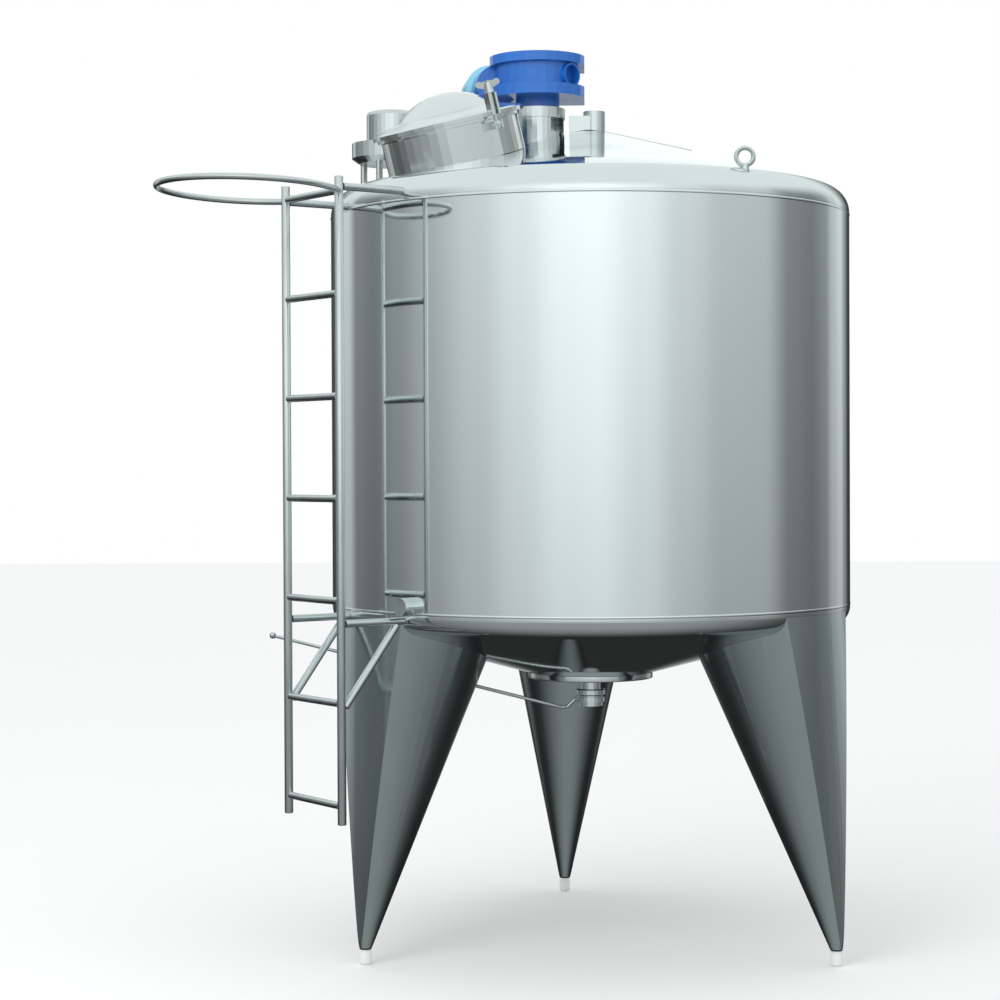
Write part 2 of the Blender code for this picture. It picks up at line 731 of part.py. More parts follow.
def make_lid():
    """The dished lid with its hinge knuckle and the fork that the swing bolt drops into."""
    to_rim = Matrix.Translation((HINGE_OFFSET, 0.0, -HINGE_HEIGHT))
    lid = turned_piece(
        "manway_lid", lid_profile(), "polished_steel", NECK_STEPS, to_rim, LID_AXIS, closed=False
    )
    arm = box_mesh(
        "lid_arm",
        (-HINGE_OFFSET, -0.020, RIM_HEIGHT + 0.001),
        (-LID_RADIUS + 0.010, 0.020, RIM_HEIGHT + 0.014),
    )
    add_boolean(lid, add_cutter("lid_arm", arm, parent=MANWAY), "UNION")
    add_boolean(lid, cross_pin("lid_knuckle", LID_AXIS_PLACE, 0.0095, 0.020), "UNION")
    bore = cross_pin("lid_bore", LID_AXIS_PLACE, HINGE_PIN_RADIUS + PIN_PLAY, 0.030)
    add_boolean(lid, bore)
    root = box_mesh(
        "fork_root",
        (LID_RADIUS - 0.016, -FORK_HALF, RIM_HEIGHT + 0.001),
        (BOLT_OFFSET + 0.012, FORK_HALF, RIM_HEIGHT + 0.014),
    )
    add_boolean(lid, add_cutter("fork_root", root, parent=MANWAY), "UNION")
    fork = box_mesh(
        "fork_prongs",
        (BOLT_OFFSET - 0.014, -FORK_HALF, RIM_HEIGHT + 0.0013),
        (BOLT_OFFSET + 0.0117, FORK_HALF - 0.0003, RIM_HEIGHT + BOLT_NUT_BOTTOM - 0.0015),
    )
    add_boolean(lid, add_cutter("fork_prongs", fork, parent=MANWAY), "UNION")
    slot = box_mesh(
        "bolt_slot",
        (BOLT_OFFSET - 0.0095, -BOLT_SLOT_HALF, RIM_HEIGHT - 0.010),
        (BOLT_OFFSET + 0.030, BOLT_SLOT_HALF, RIM_HEIGHT + BOLT_TOP),
    )
    add_boolean(lid, add_cutter("bolt_slot", slot, parent=MANWAY))


def make_swing_bolt():
    """The eye bolt that swings out of the lid's fork, with its wing nut."""
    low = 0.010
    nut_low = BOLT_PIVOT_DROP + BOLT_NUT_BOTTOM
    top = BOLT_PIVOT_DROP + BOLT_TOP
    shank = cylinder_mesh("lid_bolt", BOLT_SHANK_RADIUS, low, top, 14)
    bolt = add_piece("lid_bolt", shank, "satin_steel", parent=BOLT_AXIS)
    eye = cylinder_mesh("bolt_eye", 0.0125, -0.0085, 0.0085, 18)
    turn = Matrix.Rotation(math.pi / 2, 4, "X")
    add_boolean(bolt, add_cutter("bolt_eye", eye, turn, BOLT_AXIS), "UNION")
    bore = cross_pin("eye_bore", BOLT_AXIS_PLACE, 0.004 + PIN_PLAY, 0.020)
    add_boolean(bolt, bore)
    hub = cylinder_mesh("nut_hub", 0.015, nut_low, top - 0.006, 18, 0.011)
    add_boolean(bolt, add_cutter("nut_hub", hub, parent=BOLT_AXIS), "UNION")
    wings = outline_mesh("nut_wings", wing_outline(), 0.004)
    place = Matrix.Translation((0, 0, top - 0.016)) @ Matrix.Rotation(math.radians(52), 4, "Z")
    place = place @ Matrix.Rotation(math.pi / 2, 4, "X")
    add_boolean(bolt, add_cutter("nut_wings", wings, place, BOLT_AXIS), "UNION")


def wing_outline():
    """The wing nut's outline: two raised round wings either side of a low middle."""
    right = arc_points((0.027, 0.007), 0.010, -math.pi / 2, math.pi * 0.75, 8)
    left = [(-x, y) for x, y in reversed(right)]
    return [(0.0, -0.012)] + right + left


def make_mixer():
    """The lantern stand, the shaft in it, the gearbox on top and the motor behind."""
    make_stand()
    shaft_low = roof_height(abs(MIXER_X)) - 0.03
    mesh = cylinder_mesh("mixer_shaft", SHAFT_RADIUS, shaft_low, STAND_TOP_Z - GAP, 18)
    shaft = add_piece("mixer_shaft", mesh, "dark_seal", Matrix.Translation((MIXER_X, 0, 0)))
    add_boolean(shaft, TANK_FORM)
    make_gearbox()
    make_motor()


def make_stand():
    """A round lantern stand, open through two windows, trimmed to the roof's slope."""
    floor = roof_height(abs(MIXER_X)) - 0.05
    flange_low = STAND_TOP_Z - STAND_FLANGE
    profile = [
        (STAND_FLANGE_RADIUS, STAND_TOP_Z),
        (STAND_FLANGE_RADIUS, flange_low),
        (STAND_RADIUS, flange_low),
        (STAND_RADIUS, floor),
        (STAND_RADIUS - STAND_WALL, floor),
        (STAND_RADIUS - STAND_WALL, flange_low),
        (SHAFT_RADIUS + 0.002, flange_low),
        (SHAFT_RADIUS + 0.002, STAND_TOP_Z),
    ]
    matrix = Matrix.Translation((MIXER_X, 0.0, 0.0))
    stand = turned_piece("mixer_stand", profile, "satin_steel", 32, matrix)
    for i, degrees in enumerate(STAND_WINDOW_ANGLES):
        low = (0.040, -STAND_WINDOW_HALF, STAND_WINDOW_LOW_Z)
        high = (STAND_RADIUS + 0.02, STAND_WINDOW_HALF, flange_low - 0.001)
        turn = Matrix.Rotation(math.radians(degrees), 4, "Z")
        cutter = add_cutter(f"stand_window_{i}", box_mesh("window", low, high), matrix @ turn)
        add_boolean(stand, cutter)
    add_boolean(stand, TANK_FORM)


def gearbox_outline(inset=0.0):
    """The housing from above: round at the front, with flat sides and a flat back."""
    radius = GEARBOX_RADIUS - inset
    left = GEARBOX_LEFT + inset
    right = GEARBOX_RIGHT - inset
    back = GEARBOX_BACK - inset
    start = math.pi + math.acos(-left / radius)
    end = 2 * math.pi - math.acos(right / radius)
    front = arc_points((0.0, 0.0), radius, start, end, 12)
    return front + [(right, back), (left, back)]


def make_gearbox():
    """A cast housing with thick top and bottom flanges and a recessed web between them."""
    web_z = (GEARBOX_BOTTOM_Z + GEARBOX_TOP_Z) / 2
    half = (GEARBOX_TOP_Z - GEARBOX_BOTTOM_Z) / 2
    web = outline_mesh("gearbox", gearbox_outline(GEARBOX_WEB_INSET), half - 0.002)
    gearbox = add_piece("gearbox", web, "blue_casting", Matrix.Translation((MIXER_X, 0, web_z)))
    low_z = GEARBOX_BOTTOM_Z + GEARBOX_LOW_FLANGE / 2
    top_z = GEARBOX_TOP_Z - GEARBOX_TOP_FLANGE / 2
    flanges = (("low", low_z, GEARBOX_LOW_FLANGE), ("top", top_z, GEARBOX_TOP_FLANGE))
    for label, middle_z, thickness in flanges:
        plate = outline_mesh(f"gearbox_flange_{label}", gearbox_outline(), thickness / 2)
        place = Matrix.Translation((MIXER_X, 0, middle_z))
        add_boolean(gearbox, add_cutter(f"gearbox_flange_{label}", plate, place), "UNION")
    add_bored_boss(gearbox)
    spigot = cylinder_mesh(
        "gearbox_spigot", SPIGOT_RADIUS, STAND_TOP_Z + GAP, GEARBOX_BOTTOM_Z + 0.010, 32
    )
    place = Matrix.Translation((MIXER_X, 0, 0))
    add_boolean(gearbox, add_cutter("gearbox_spigot", spigot, place), "UNION")
    reach = (Vector(MOTOR_START) - Vector(BARREL_START)).to_2d().length
    barrel = cylinder_mesh("motor_barrel", BARREL_RADIUS, 0.0, reach - GAP, 32)
    place = axis_matrix(BARREL_START, MOTOR_DIRECTION)
    add_boolean(gearbox, add_cutter("motor_barrel", barrel, place), "UNION")


def add_bored_boss(gearbox):
    """The round boss on the housing's right front, bored for a shaft seal."""
    direction = Vector((math.cos(GEARBOX_BOSS_ANGLE), math.sin(GEARBOX_BOSS_ANGLE), 0.0))
    place = axis_matrix(Vector((MIXER_X, 0.0, GEARBOX_BOSS_Z)), direction)
    boss = cylinder_mesh("gearbox_boss", GEARBOX_BOSS_RADIUS, 0.060, GEARBOX_BOSS_REACH, 28)
    add_boolean(gearbox, add_cutter("gearbox_boss", boss, place), "UNION")
    bore = cylinder_mesh(
        "gearbox_bore", GEARBOX_BORE_RADIUS, GEARBOX_BORE_FLOOR, GEARBOX_BOSS_REACH + 0.05, 28
    )
    add_boolean(gearbox, add_cutter("gearbox_bore", bore, place))


def make_motor():
    """The mixer's motor, flanged to the gearbox's barrel, with a domed fan cover."""
    profile = [
        (0.0, MOTOR_LENGTH),
        (MOTOR_RADIUS * 0.55, MOTOR_LENGTH - 0.004),
        (MOTOR_RADIUS * 0.88, MOTOR_LENGTH - 0.020),
        (MOTOR_RADIUS, MOTOR_LENGTH - 0.048),
        (MOTOR_RADIUS, 0.016),
        (MOTOR_RADIUS * 0.8, 0.0),
        (0.0, 0.0),
    ]
    matrix = axis_matrix(MOTOR_START, MOTOR_DIRECTION)
    turned_piece("mixer_motor", profile, "light_blue_paint", 32, matrix, closed=False)


def make_vent():
    """The vent: a round can on a wider drum, standing on four short posts."""
    chamfer_z, drum_low, drum_top = VENT_DRUM_Z
    profile = [
        (0.0, VENT_TOP_Z),
        (VENT_CAN_RADIUS - 0.014, VENT_TOP_Z),
        (VENT_CAN_RADIUS - 0.004, VENT_TOP_Z - 0.004),
        (VENT_CAN_RADIUS, VENT_TOP_Z - 0.014),
        (VENT_CAN_RADIUS, drum_top),
        (VENT_DRUM_RADIUS, drum_top),
        (VENT_DRUM_RADIUS, drum_low),
        (VENT_DRUM_RADIUS - 0.024, chamfer_z),
        (0.0, chamfer_z),
    ]
    matrix = Matrix.Translation((VENT_X, VENT_Y, 0.0))
    vent = turned_piece("vent_cowl", profile, "satin_steel", 36, matrix, closed=False)
    for i in range(4):
        angle = math.radians(VENT_POST_PHASE + 90 * i)
        mesh = cylinder_mesh("vent_post", VENT_POST_RADIUS, 2.300, drum_low, 12)
        place = Vector((math.cos(angle), math.sin(angle), 0.0)) * VENT_POST_CIRCLE
        post = add_cutter(f"vent_post_{i}", mesh, matrix @ Matrix.Translation(place))
        add_boolean(vent, post, "UNION")
    add_boolean(vent, TANK_FORM)


def make_spray_line():
    """The nozzle at the roof's top with a block beside it, and the pipe down the slope."""
    mesh = cylinder_mesh("spray_nozzle", NOZZLE_RADIUS, roof_height(0.0) - 0.05, NOZZLE_TOP_Z, 28)
    nozzle = add_piece("spray_nozzle", mesh, "satin_steel", Matrix.Translation((NOZZLE_X, 0, 0)))
    block = box_mesh(
        "nozzle_block",
        (NOZZLE_X - NOZZLE_RADIUS * 0.6 - BLOCK_WIDTH, -0.032, roof_height(0.0) - 0.05),
        (NOZZLE_X, 0.032, BLOCK_TOP_Z),
    )
    add_boolean(nozzle, add_cutter("nozzle_block", block), "UNION")
    add_boolean(nozzle, TANK_FORM)
    route = [(x, 0.0, z) for x, z in PIPE_ROUTE]
    pipe = add_piece("spray_pipe", tube_mesh("spray_pipe", route, PIPE_RADIUS, 3), "satin_steel")
    add_boolean(pipe, TANK_FORM)
    form = cylinder_mesh("nozzle_form", NOZZLE_RADIUS + GAP, 2.4, 2.8, 28)
    add_boolean(pipe, add_cutter("nozzle_form", form, Matrix.Translation((NOZZLE_X, 0, 0))))


def make_lugs():
    """Two lifting lugs on the shoulder: an upright ring on a short foot."""
    facing = (0, -1, 0)
    ring = arc_points((0.0, 0.0), LUG_RING_RADIUS, 0.0, 2 * math.pi, 20)[:-1]
    for label, degrees in zip(("front", "rear"), LUG_ANGLES):
        angle = math.radians(degrees)
        base = Vector((math.cos(angle), math.sin(angle), 0.0)) * LUG_PLAN_RADIUS
        frame = axis_matrix(base + Vector((0, 0, LUG_CENTRE_Z)), facing)
        mesh = ring_mesh(f"lifting_lug_{label}", ring, LUG_BAR_RADIUS)
        lug = add_piece(f"lifting_lug_{label}", mesh, "satin_steel", frame)
        ring_low = LUG_CENTRE_Z - LUG_RING_RADIUS
        foot = cylinder_mesh("lug_foot", 0.016, ring_low - 0.05, ring_low + 0.003, 18, 0.012)
        add_boolean(lug, add_cutter(f"lug_foot_{label}", foot, Matrix.Translation(base)), "UNION")
        add_boolean(lug, TANK_FORM)


def ring_mesh(name, points, radius):
    """A closed ring of round bar through points in its own XY plane."""
    curve = bpy.data.curves.new(name + "_line", "CURVE")
    curve.dimensions = "3D"
    curve.bevel_depth = radius
    curve.bevel_resolution = 2
    spline = curve.splines.new("POLY")
    spline.points.add(len(points) - 1)
    for point, (x, y) in zip(spline.points, points):
        point.co = (x, y, 0.0, 1.0)
    spline.use_cyclic_u = True
    return mesh_from_curve(name, curve)


def make_boss():
    """A short plugged boss on the shell, just above the bottom seam."""
    angle = math.radians(BOSS_ANGLE)
    outward = Vector((math.cos(angle), math.sin(angle), 0.0))
    start = outward * (SHELL_RADIUS - 0.02) + Vector((0, 0, BOSS_Z))
    end = outward * (SHELL_RADIUS + BOSS_REACH) + Vector((0, 0, BOSS_Z))
    mesh, matrix = rod_between("shell_boss", start, end, BOSS_RADIUS, 24)
    add_boolean(add_piece("shell_boss", mesh, "satin_steel", matrix), TANK_FORM)


def make_ladder():
    """Two rails, seven rungs, the hoop round the top and the stays to the tank."""
    for label, side in (("left", -1), ("right", 1)):
        rail = ladder_point(LADDER_PLAN_RADIUS, side * LADDER_HALF_WIDTH)
        name = f"ladder_rail_{label}"
        mesh = cylinder_mesh(name, RAIL_RADIUS, RAIL_Z[0], RAIL_Z[1], TUBE_SIDES)
        add_piece(name, mesh, "satin_steel", Matrix.Translation((rail.x, rail.y, 0.0)))
        make_stays(label, side, rail)
    turn = Matrix.Rotation(LADDER_ANGLE + math.pi / 2, 4, "Z")
    reach = LADDER_HALF_WIDTH - RAIL_RADIUS - GAP
    centre = ladder_point(LADDER_PLAN_RADIUS, 0.0)
    rung = cylinder_mesh("ladder_rung", RUNG_RADIUS, -reach, reach, TUBE_SIDES)
    sideways = turn @ Matrix.Rotation(math.pi / 2, 4, "Y")
    for i in range(RUNG_COUNT):
        place = Matrix.Translation((centre.x, centre.y, RUNG_FIRST_Z + i * RUNG_PITCH))
        name = f"ladder_rung_{i + 1}"
        mesh = rung.copy()
        mesh.name = name
        add_piece(name, mesh, "satin_steel", place @ sideways)
    bpy.data.meshes.remove(rung)
    make_hoop()


def make_stays(label, side, rail):
    """The upper stay of one rail, and its lower stay with the brace that meets it."""
    inward = -Vector((math.cos(LADDER_ANGLE), math.sin(LADDER_ANGLE)))
    start = rail + inward * (RAIL_RADIUS + GAP)
    wall = rail.copy()
    while wall.length > SHELL_RADIUS - 0.02:
        wall = wall + inward * 0.005
    for level, height in (("upper", UPPER_STAY_Z[label]), ("lower", LOWER_STAY_Z)):
        name = f"ladder_stay_{level}_{label}"
        mesh, matrix = rod_between(name, (*start, height), (*wall, height), STAY_RADIUS)
        stay = add_piece(name, mesh, "satin_steel", matrix)
        if level == "lower":
            foot = Vector((*start, BRACE_FOOT_Z))
            head = Vector((*ladder_point(BRACE_HEAD_OUT, side * LADDER_HALF_WIDTH), BRACE_HEAD_Z))
            mesh, matrix = rod_between("brace", foot, head, STAY_RADIUS)
            add_boolean(stay, add_cutter(f"brace_{label}", mesh, matrix), "UNION")
            keep_off_rail(stay, name, rail)
            guard = leg_face(LEG_FEET["left"][0], 2 * GAP)
            add_boolean(stay, add_cutter(f"leg_guard_{label}", guard))
        add_boolean(stay, TANK_FORM)


def keep_off_rail(piece, label, rail):
    """Trim a bar's end to the rail's round face."""
    mesh = cylinder_mesh("rail_form", RAIL_RADIUS + GAP, RAIL_Z[0], RAIL_Z[1], TUBE_SIDES)
    place = Matrix.Translation((rail.x, rail.y, 0.0))
    add_boolean(piece, add_cutter(f"rail_form_{label}", mesh, place))


def make_hoop():
    """The safety hoop: an arc outside the ladder from rail to rail, rising outwards."""
    centre = hoop_centre()
    half = math.asin(LADDER_HALF_WIDTH / HOOP_RADIUS)
    inward = LADDER_ANGLE + math.pi
    start = inward + half
    end = inward + 2 * math.pi - half
    arc = arc_points((centre.x, centre.y), HOOP_RADIUS, start, end, HOOP_POINTS)
    outward = Vector((math.cos(LADDER_ANGLE), math.sin(LADDER_ANGLE)))
    route = []
    for x, y in arc:
        rise = (outward.dot(Vector((x, y))) - LADDER_PLAN_RADIUS) * HOOP_SLOPE
        route.append((x, y, HOOP_Z + rise))
    mesh = tube_mesh("ladder_hoop", route, HOOP_TUBE_RADIUS)
    hoop = add_piece("ladder_hoop", mesh, "satin_steel")
    for side in (-1, 1):
        rail = ladder_point(LADDER_PLAN_RADIUS, side * LADDER_HALF_WIDTH)
        keep_off_rail(hoop, f"hoop_{side}", rail)


make_shell()
make_roof()
DISC_BOTTOM_Z = make_bottom()
make_legs()
make_outlet(DISC_BOTTOM_Z)
make_neck()
make_lid()
make_swing_bolt()
make_mixer()
make_vent()
make_spray_line()
make_lugs()
make_boss()
make_ladder()
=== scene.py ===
# %% [markdown]
# # A stainless storage tank in Blender
# This lesson dresses an upright storage tank: a mirror-polished round shell on three cone
# legs, with a manway, a mixer and a vent on its roof and a ladder at its side. The solids of
# the tank come in as a fixed frame, in metres, and nothing here moves or resizes them. Each
# cell makes one piece or one finish, and says why it is made that way.

# %% The frame and its box
import json
import math

import bmesh
import bpy
from mathutils import Matrix, Vector


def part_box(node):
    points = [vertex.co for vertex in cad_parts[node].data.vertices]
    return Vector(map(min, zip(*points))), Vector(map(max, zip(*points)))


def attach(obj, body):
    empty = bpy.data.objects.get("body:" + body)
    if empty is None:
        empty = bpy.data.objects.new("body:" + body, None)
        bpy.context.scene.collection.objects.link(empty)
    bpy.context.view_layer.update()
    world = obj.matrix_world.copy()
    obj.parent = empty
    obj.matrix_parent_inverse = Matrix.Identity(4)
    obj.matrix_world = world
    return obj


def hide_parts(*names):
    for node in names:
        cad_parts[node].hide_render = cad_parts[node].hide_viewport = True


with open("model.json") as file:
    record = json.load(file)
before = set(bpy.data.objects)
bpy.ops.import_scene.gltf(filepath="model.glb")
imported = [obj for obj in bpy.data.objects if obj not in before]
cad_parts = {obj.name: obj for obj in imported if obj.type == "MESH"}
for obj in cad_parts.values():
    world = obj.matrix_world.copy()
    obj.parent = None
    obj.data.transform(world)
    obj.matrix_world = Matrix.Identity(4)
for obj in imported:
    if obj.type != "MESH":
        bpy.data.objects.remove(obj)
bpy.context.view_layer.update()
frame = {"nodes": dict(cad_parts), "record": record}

# %% [markdown]
# ## The tank's own axis and main sizes
# Nearly every piece of a tank is round about one upright axis. So places are given from that
# axis, on the floor: X to the right, Y away from the viewer, Z up. The flat disc in the middle
# of the bottom is concentric with the tank, so its box tells where the axis stands.

# %% The axis and the sizes that the cells share
disc_low, disc_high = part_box("bottom_disc")
AXIS = Vector(((disc_low.x + disc_high.x) / 2, (disc_low.y + disc_high.y) / 2, 0.0))
SHELL_RADIUS = 0.830
SHELL_WALL = 0.008
SEAM_TOP_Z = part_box("roof_shoulder")[0].z
SEAM_LOW_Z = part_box("shell_plate_1")[0].z
CONE_SLOPE = 0.2715
SLOPE_ANGLE = math.atan(CONE_SLOPE)
ROOF_KNUCKLE = 0.081
BOTTOM_KNUCKLE = 0.060
HAIR_GAP = 0.0003


def at(x, y, z):
    """A place given from the tank's axis."""
    return AXIS + Vector((x, y, z))


print("axis at", [round(v, 4) for v in AXIS], "seams at", round(SEAM_LOW_Z, 3), round(SEAM_TOP_Z, 3))

# %% [markdown]
# ## The camera
# The photograph looks at the tank from about chest height, seven and a half metres away, with
# a long lens, a touch to the left of the tank and slightly down. A long lens keeps the shell's
# sides upright, so the picture reads almost like a drawing.

# %% Place the camera
CAMERA_DISTANCE = 7.57
CAMERA_HEIGHT = 1.514
LENS_PIXELS = 2345.0
PICTURE_PIXELS = 1000.0
AIM_LEFT = math.atan(90.0 / LENS_PIXELS)
AIM_DOWN = math.atan(32.0 / LENS_PIXELS)
CAMERA_ROLL = 0.0043

camera_data = bpy.data.cameras.new("photo_camera")
camera_data.sensor_width = 36.0
camera_data.lens = camera_data.sensor_width * LENS_PIXELS / PICTURE_PIXELS
camera_data.clip_end = 200.0
camera = bpy.data.objects.new("photo_camera", camera_data)
bpy.context.scene.collection.objects.link(camera)
upright = Matrix.Rotation(math.pi / 2 - AIM_DOWN, 4, "X")
sideways = Matrix.Rotation(AIM_LEFT, 4, "Z")
tilt = Matrix.Rotation(-CAMERA_ROLL, 4, "Z")
place = Matrix.Translation(at(0.0, -CAMERA_DISTANCE, CAMERA_HEIGHT))
camera.matrix_world = place @ sideways @ upright @ tilt
bpy.context.scene.camera = camera
print("lens", round(camera_data.lens, 1), "mm")

# %% [markdown]
# ## The studio
# A mirror shows its surroundings, so the look of polished steel is mostly the look of the
# room. A photographer lights such a tank with one broad white wall behind the camera and
# lets the sides fall to grey, with dark flags far round to draw a crisp edge on the shell.
# Here the world does that job for mirrored rays only. Everything else sees plain white.

# %% Light the studio
def grey(value, tint=(0.93, 1.0, 0.99)):
    """A grey of the given strength with the room's cool tint."""
    return (value * tint[0], value * tint[1], value * tint[2], 1.0)


# Brightness of the room round the tank, by the angle in degrees from the camera's side
ROOM = [
    (-180, 0.95), (-171, 0.90), (-166, 0.05), (-152, 0.10), (-144, 0.62), (-132, 0.60),
    (-123, 0.24), (-108, 0.20), (-92, 0.30), (-74, 0.44), (-50, 0.64), (-30, 0.84),
    (-12, 1.02), (4, 1.06), (22, 0.90), (41, 0.68), (60, 0.54), (80, 0.52),
    (97, 0.24), (112, 0.20), (124, 0.27), (133, 0.52), (143, 0.66), (151, 0.30),
    (158, 0.06), (167, 0.03), (172, 0.90), (180, 0.95),
]


def link_math(tree, operation, first, second=None, clamp=False):
    """One Math node, wired to sockets or set to numbers."""
    node = tree.nodes.new("ShaderNodeMath")
    node.operation = operation
    node.use_clamp = clamp
    for socket, value in zip(node.inputs, (first, second)):
        if value is None:
            continue
        if isinstance(value, (int, float)):
            socket.default_value = value
        else:
            tree.links.new(value, socket)
    return node.outputs[0]


def fade(tree, value, low, high):
    """A smooth step from 0 at low to 1 at high."""
    node = tree.nodes.new("ShaderNodeMapRange")
    node.interpolation_type = "SMOOTHSTEP"
    node.inputs["From Min"].default_value = low
    node.inputs["From Max"].default_value = high
    tree.links.new(value, node.inputs["Value"])
    return node.outputs[0]


def blend_colour(tree, factor, first, second, mode="MIX"):
    """One colour Mix node."""
    node = tree.nodes.new("ShaderNodeMix")
    node.data_type = "RGBA"
    node.blend_type = mode
    for socket, value in ((node.inputs[0], factor), (node.inputs[6], first), (node.inputs[7], second)):
        if isinstance(value, bpy.types.NodeSocket):
            tree.links.new(value, socket)
        else:
            socket.default_value = value
    return node.outputs[2]


def build_world():
    """White for the eye and for soft light, and the toned room for mirrored rays."""
    world = bpy.data.worlds.new("studio")
    bpy.context.scene.world = world
    world.use_nodes = True
    tree = world.node_tree
    tree.nodes.clear()
    direction = tree.nodes.new("ShaderNodeTexCoord").outputs["Generated"]
    split = tree.nodes.new("ShaderNodeSeparateXYZ")
    tree.links.new(direction, split.inputs[0])
    toward = link_math(tree, "MULTIPLY", split.outputs["Y"], -1.0)
    turn = link_math(tree, "ARCTAN2", split.outputs["X"], toward)
    height = link_math(tree, "ARCSINE", split.outputs["Z"])
    around = tree.nodes.new("ShaderNodeValToRGB")
    around.color_ramp.interpolation = "EASE"
    stops = around.color_ramp.elements
    while len(stops) > 1:
        stops.remove(stops[-1])
    stops[0].position = 0.0
    stops[0].color = grey(ROOM[0][1])
    for degrees, value in ROOM[1:]:
        stop = stops.new((degrees + 180) / 360)
        stop.color = grey(value)
    tree.links.new(link_math(tree, "ADD", link_math(tree, "DIVIDE", turn, 2 * math.pi), 0.5), around.inputs[0])
    lift = tree.nodes.new("ShaderNodeMapRange")
    lift.inputs["From Min"].default_value = math.radians(-5)
    lift.inputs["From Max"].default_value = math.radians(9)
    lift.inputs["To Min"].default_value = 0.74
    lift.inputs["To Max"].default_value = 1.28
    tree.links.new(height, lift.inputs["Value"])
    room = blend_colour(tree, 1.0, around.outputs[0], lift.outputs[0], "MULTIPLY")
    ceiling = blend_colour(tree, fade(tree, height, math.radians(9), math.radians(34)), room, grey(0.92))
    behind = fade(tree, split.outputs["Y"], -0.9, 0.5)
    ground = blend_colour(tree, behind, grey(0.34), grey(0.025))
    below = fade(tree, height, math.radians(-4), math.radians(-20))
    mirrored = blend_colour(tree, below, ceiling, ground)
    path = tree.nodes.new("ShaderNodeLightPath")
    seen = blend_colour(tree, path.outputs["Is Glossy Ray"], (1.0, 1.0, 1.0, 1.0), mirrored)
    background = tree.nodes.new("ShaderNodeBackground")
    tree.links.new(seen, background.inputs["Color"])
    output = tree.nodes.new("ShaderNodeOutputWorld")
    tree.links.new(background.outputs[0], output.inputs[0])
    return world


build_world()
key_data = bpy.data.lights.new("key_softbox", "AREA")
key_data.shape = "RECTANGLE"
key_data.size = 3.0
key_data.size_y = 2.0
key_data.energy = 90.0
key = bpy.data.objects.new("key_softbox", key_data)
bpy.context.scene.collection.objects.link(key)
key.location = at(-2.6, -4.2, 4.6)
key.rotation_euler = (at(0, 0, 1.8) - key.location).to_track_quat("-Z", "Y").to_euler()
key.visible_glossy = False
bpy.context.scene.view_settings.view_transform = "Standard"
print("room tones", len(ROOM))

# %% [markdown]
# ## Working by hand, in code
# Modelling with operators needs a few habits: leave edit mode before touching another
# object, deselect everything first, and pick faces by where they lie. These short helpers
# hold those habits, so that the cells below can talk about the tank.

# %% Helpers for the modelling
def only(piece):
    """Make one object the only selected and the active one."""
    if bpy.context.object and bpy.context.object.mode != "OBJECT":
        bpy.ops.object.mode_set(mode="OBJECT")
    bpy.ops.object.select_all(action="DESELECT")
    piece.select_set(True)
    bpy.context.view_layer.objects.active = piece


def start_edit(piece, kind="FACE"):
    """Enter edit mode with nothing selected."""
    only(piece)
    bpy.ops.object.mode_set(mode="EDIT")
    bpy.ops.mesh.select_mode(type=kind)
    bpy.ops.mesh.select_all(action="DESELECT")


def end_edit(clean=True):
    """Merge what coincides, turn the faces outwards and leave edit mode."""
    if clean:
        bpy.ops.mesh.select_all(action="SELECT")
        bpy.ops.mesh.remove_doubles(threshold=0.00002)
        bpy.ops.mesh.normals_make_consistent(inside=False)
    bpy.ops.object.mode_set(mode="OBJECT")


def pick_faces(piece, test):
    """In edit mode, select the faces whose middle and normal pass a test."""
    bpy.ops.mesh.select_all(action="DESELECT")
    shape = bmesh.from_edit_mesh(piece.data)
    for face in [face for face in shape.faces if test(face.calc_center_median(), face.normal)]:
        face.select_set(True)
    bmesh.update_edit_mesh(piece.data)


def pick_edges(piece, test):
    """In edit mode, select the edges whose two ends pass a test."""
    bpy.ops.mesh.select_all(action="DESELECT")
    shape = bmesh.from_edit_mesh(piece.data)
    for edge in [edge for edge in shape.edges if test(edge.verts[0].co, edge.verts[1].co)]:
        edge.select_set(True)
    bmesh.update_edit_mesh(piece.data)


def new_piece(name):
    """Name the primitive that was just added."""
    piece = bpy.context.active_object
    piece.name = name
    piece.data.name = name
    return piece


def settle(piece, matrix):
    """Put a piece in its place and leave its object at the origin, unturned."""
    only(piece)
    piece.matrix_world = matrix @ piece.matrix_world
    bpy.ops.object.transform_apply(location=True, rotation=True, scale=True)
    return piece


def cut(piece, tool, how="DIFFERENCE", keep=False):
    """Cut a piece with another, or join them into one body."""
    modifier = piece.modifiers.new("cut", "BOOLEAN")
    modifier.operation = how
    modifier.solver = "EXACT"
    modifier.object = tool
    only(piece)
    bpy.ops.object.modifier_apply(modifier=modifier.name)
    if not keep:
        bpy.data.objects.remove(tool)
    return piece


def arc(centre, radius, start, end, facets):
    """Points on an arc, from one angle to another."""
    points = []
    for i in range(facets + 1):
        angle = start + (end - start) * i / facets
        points.append((centre[0] + radius * math.cos(angle), centre[1] + radius * math.sin(angle)))
    return points


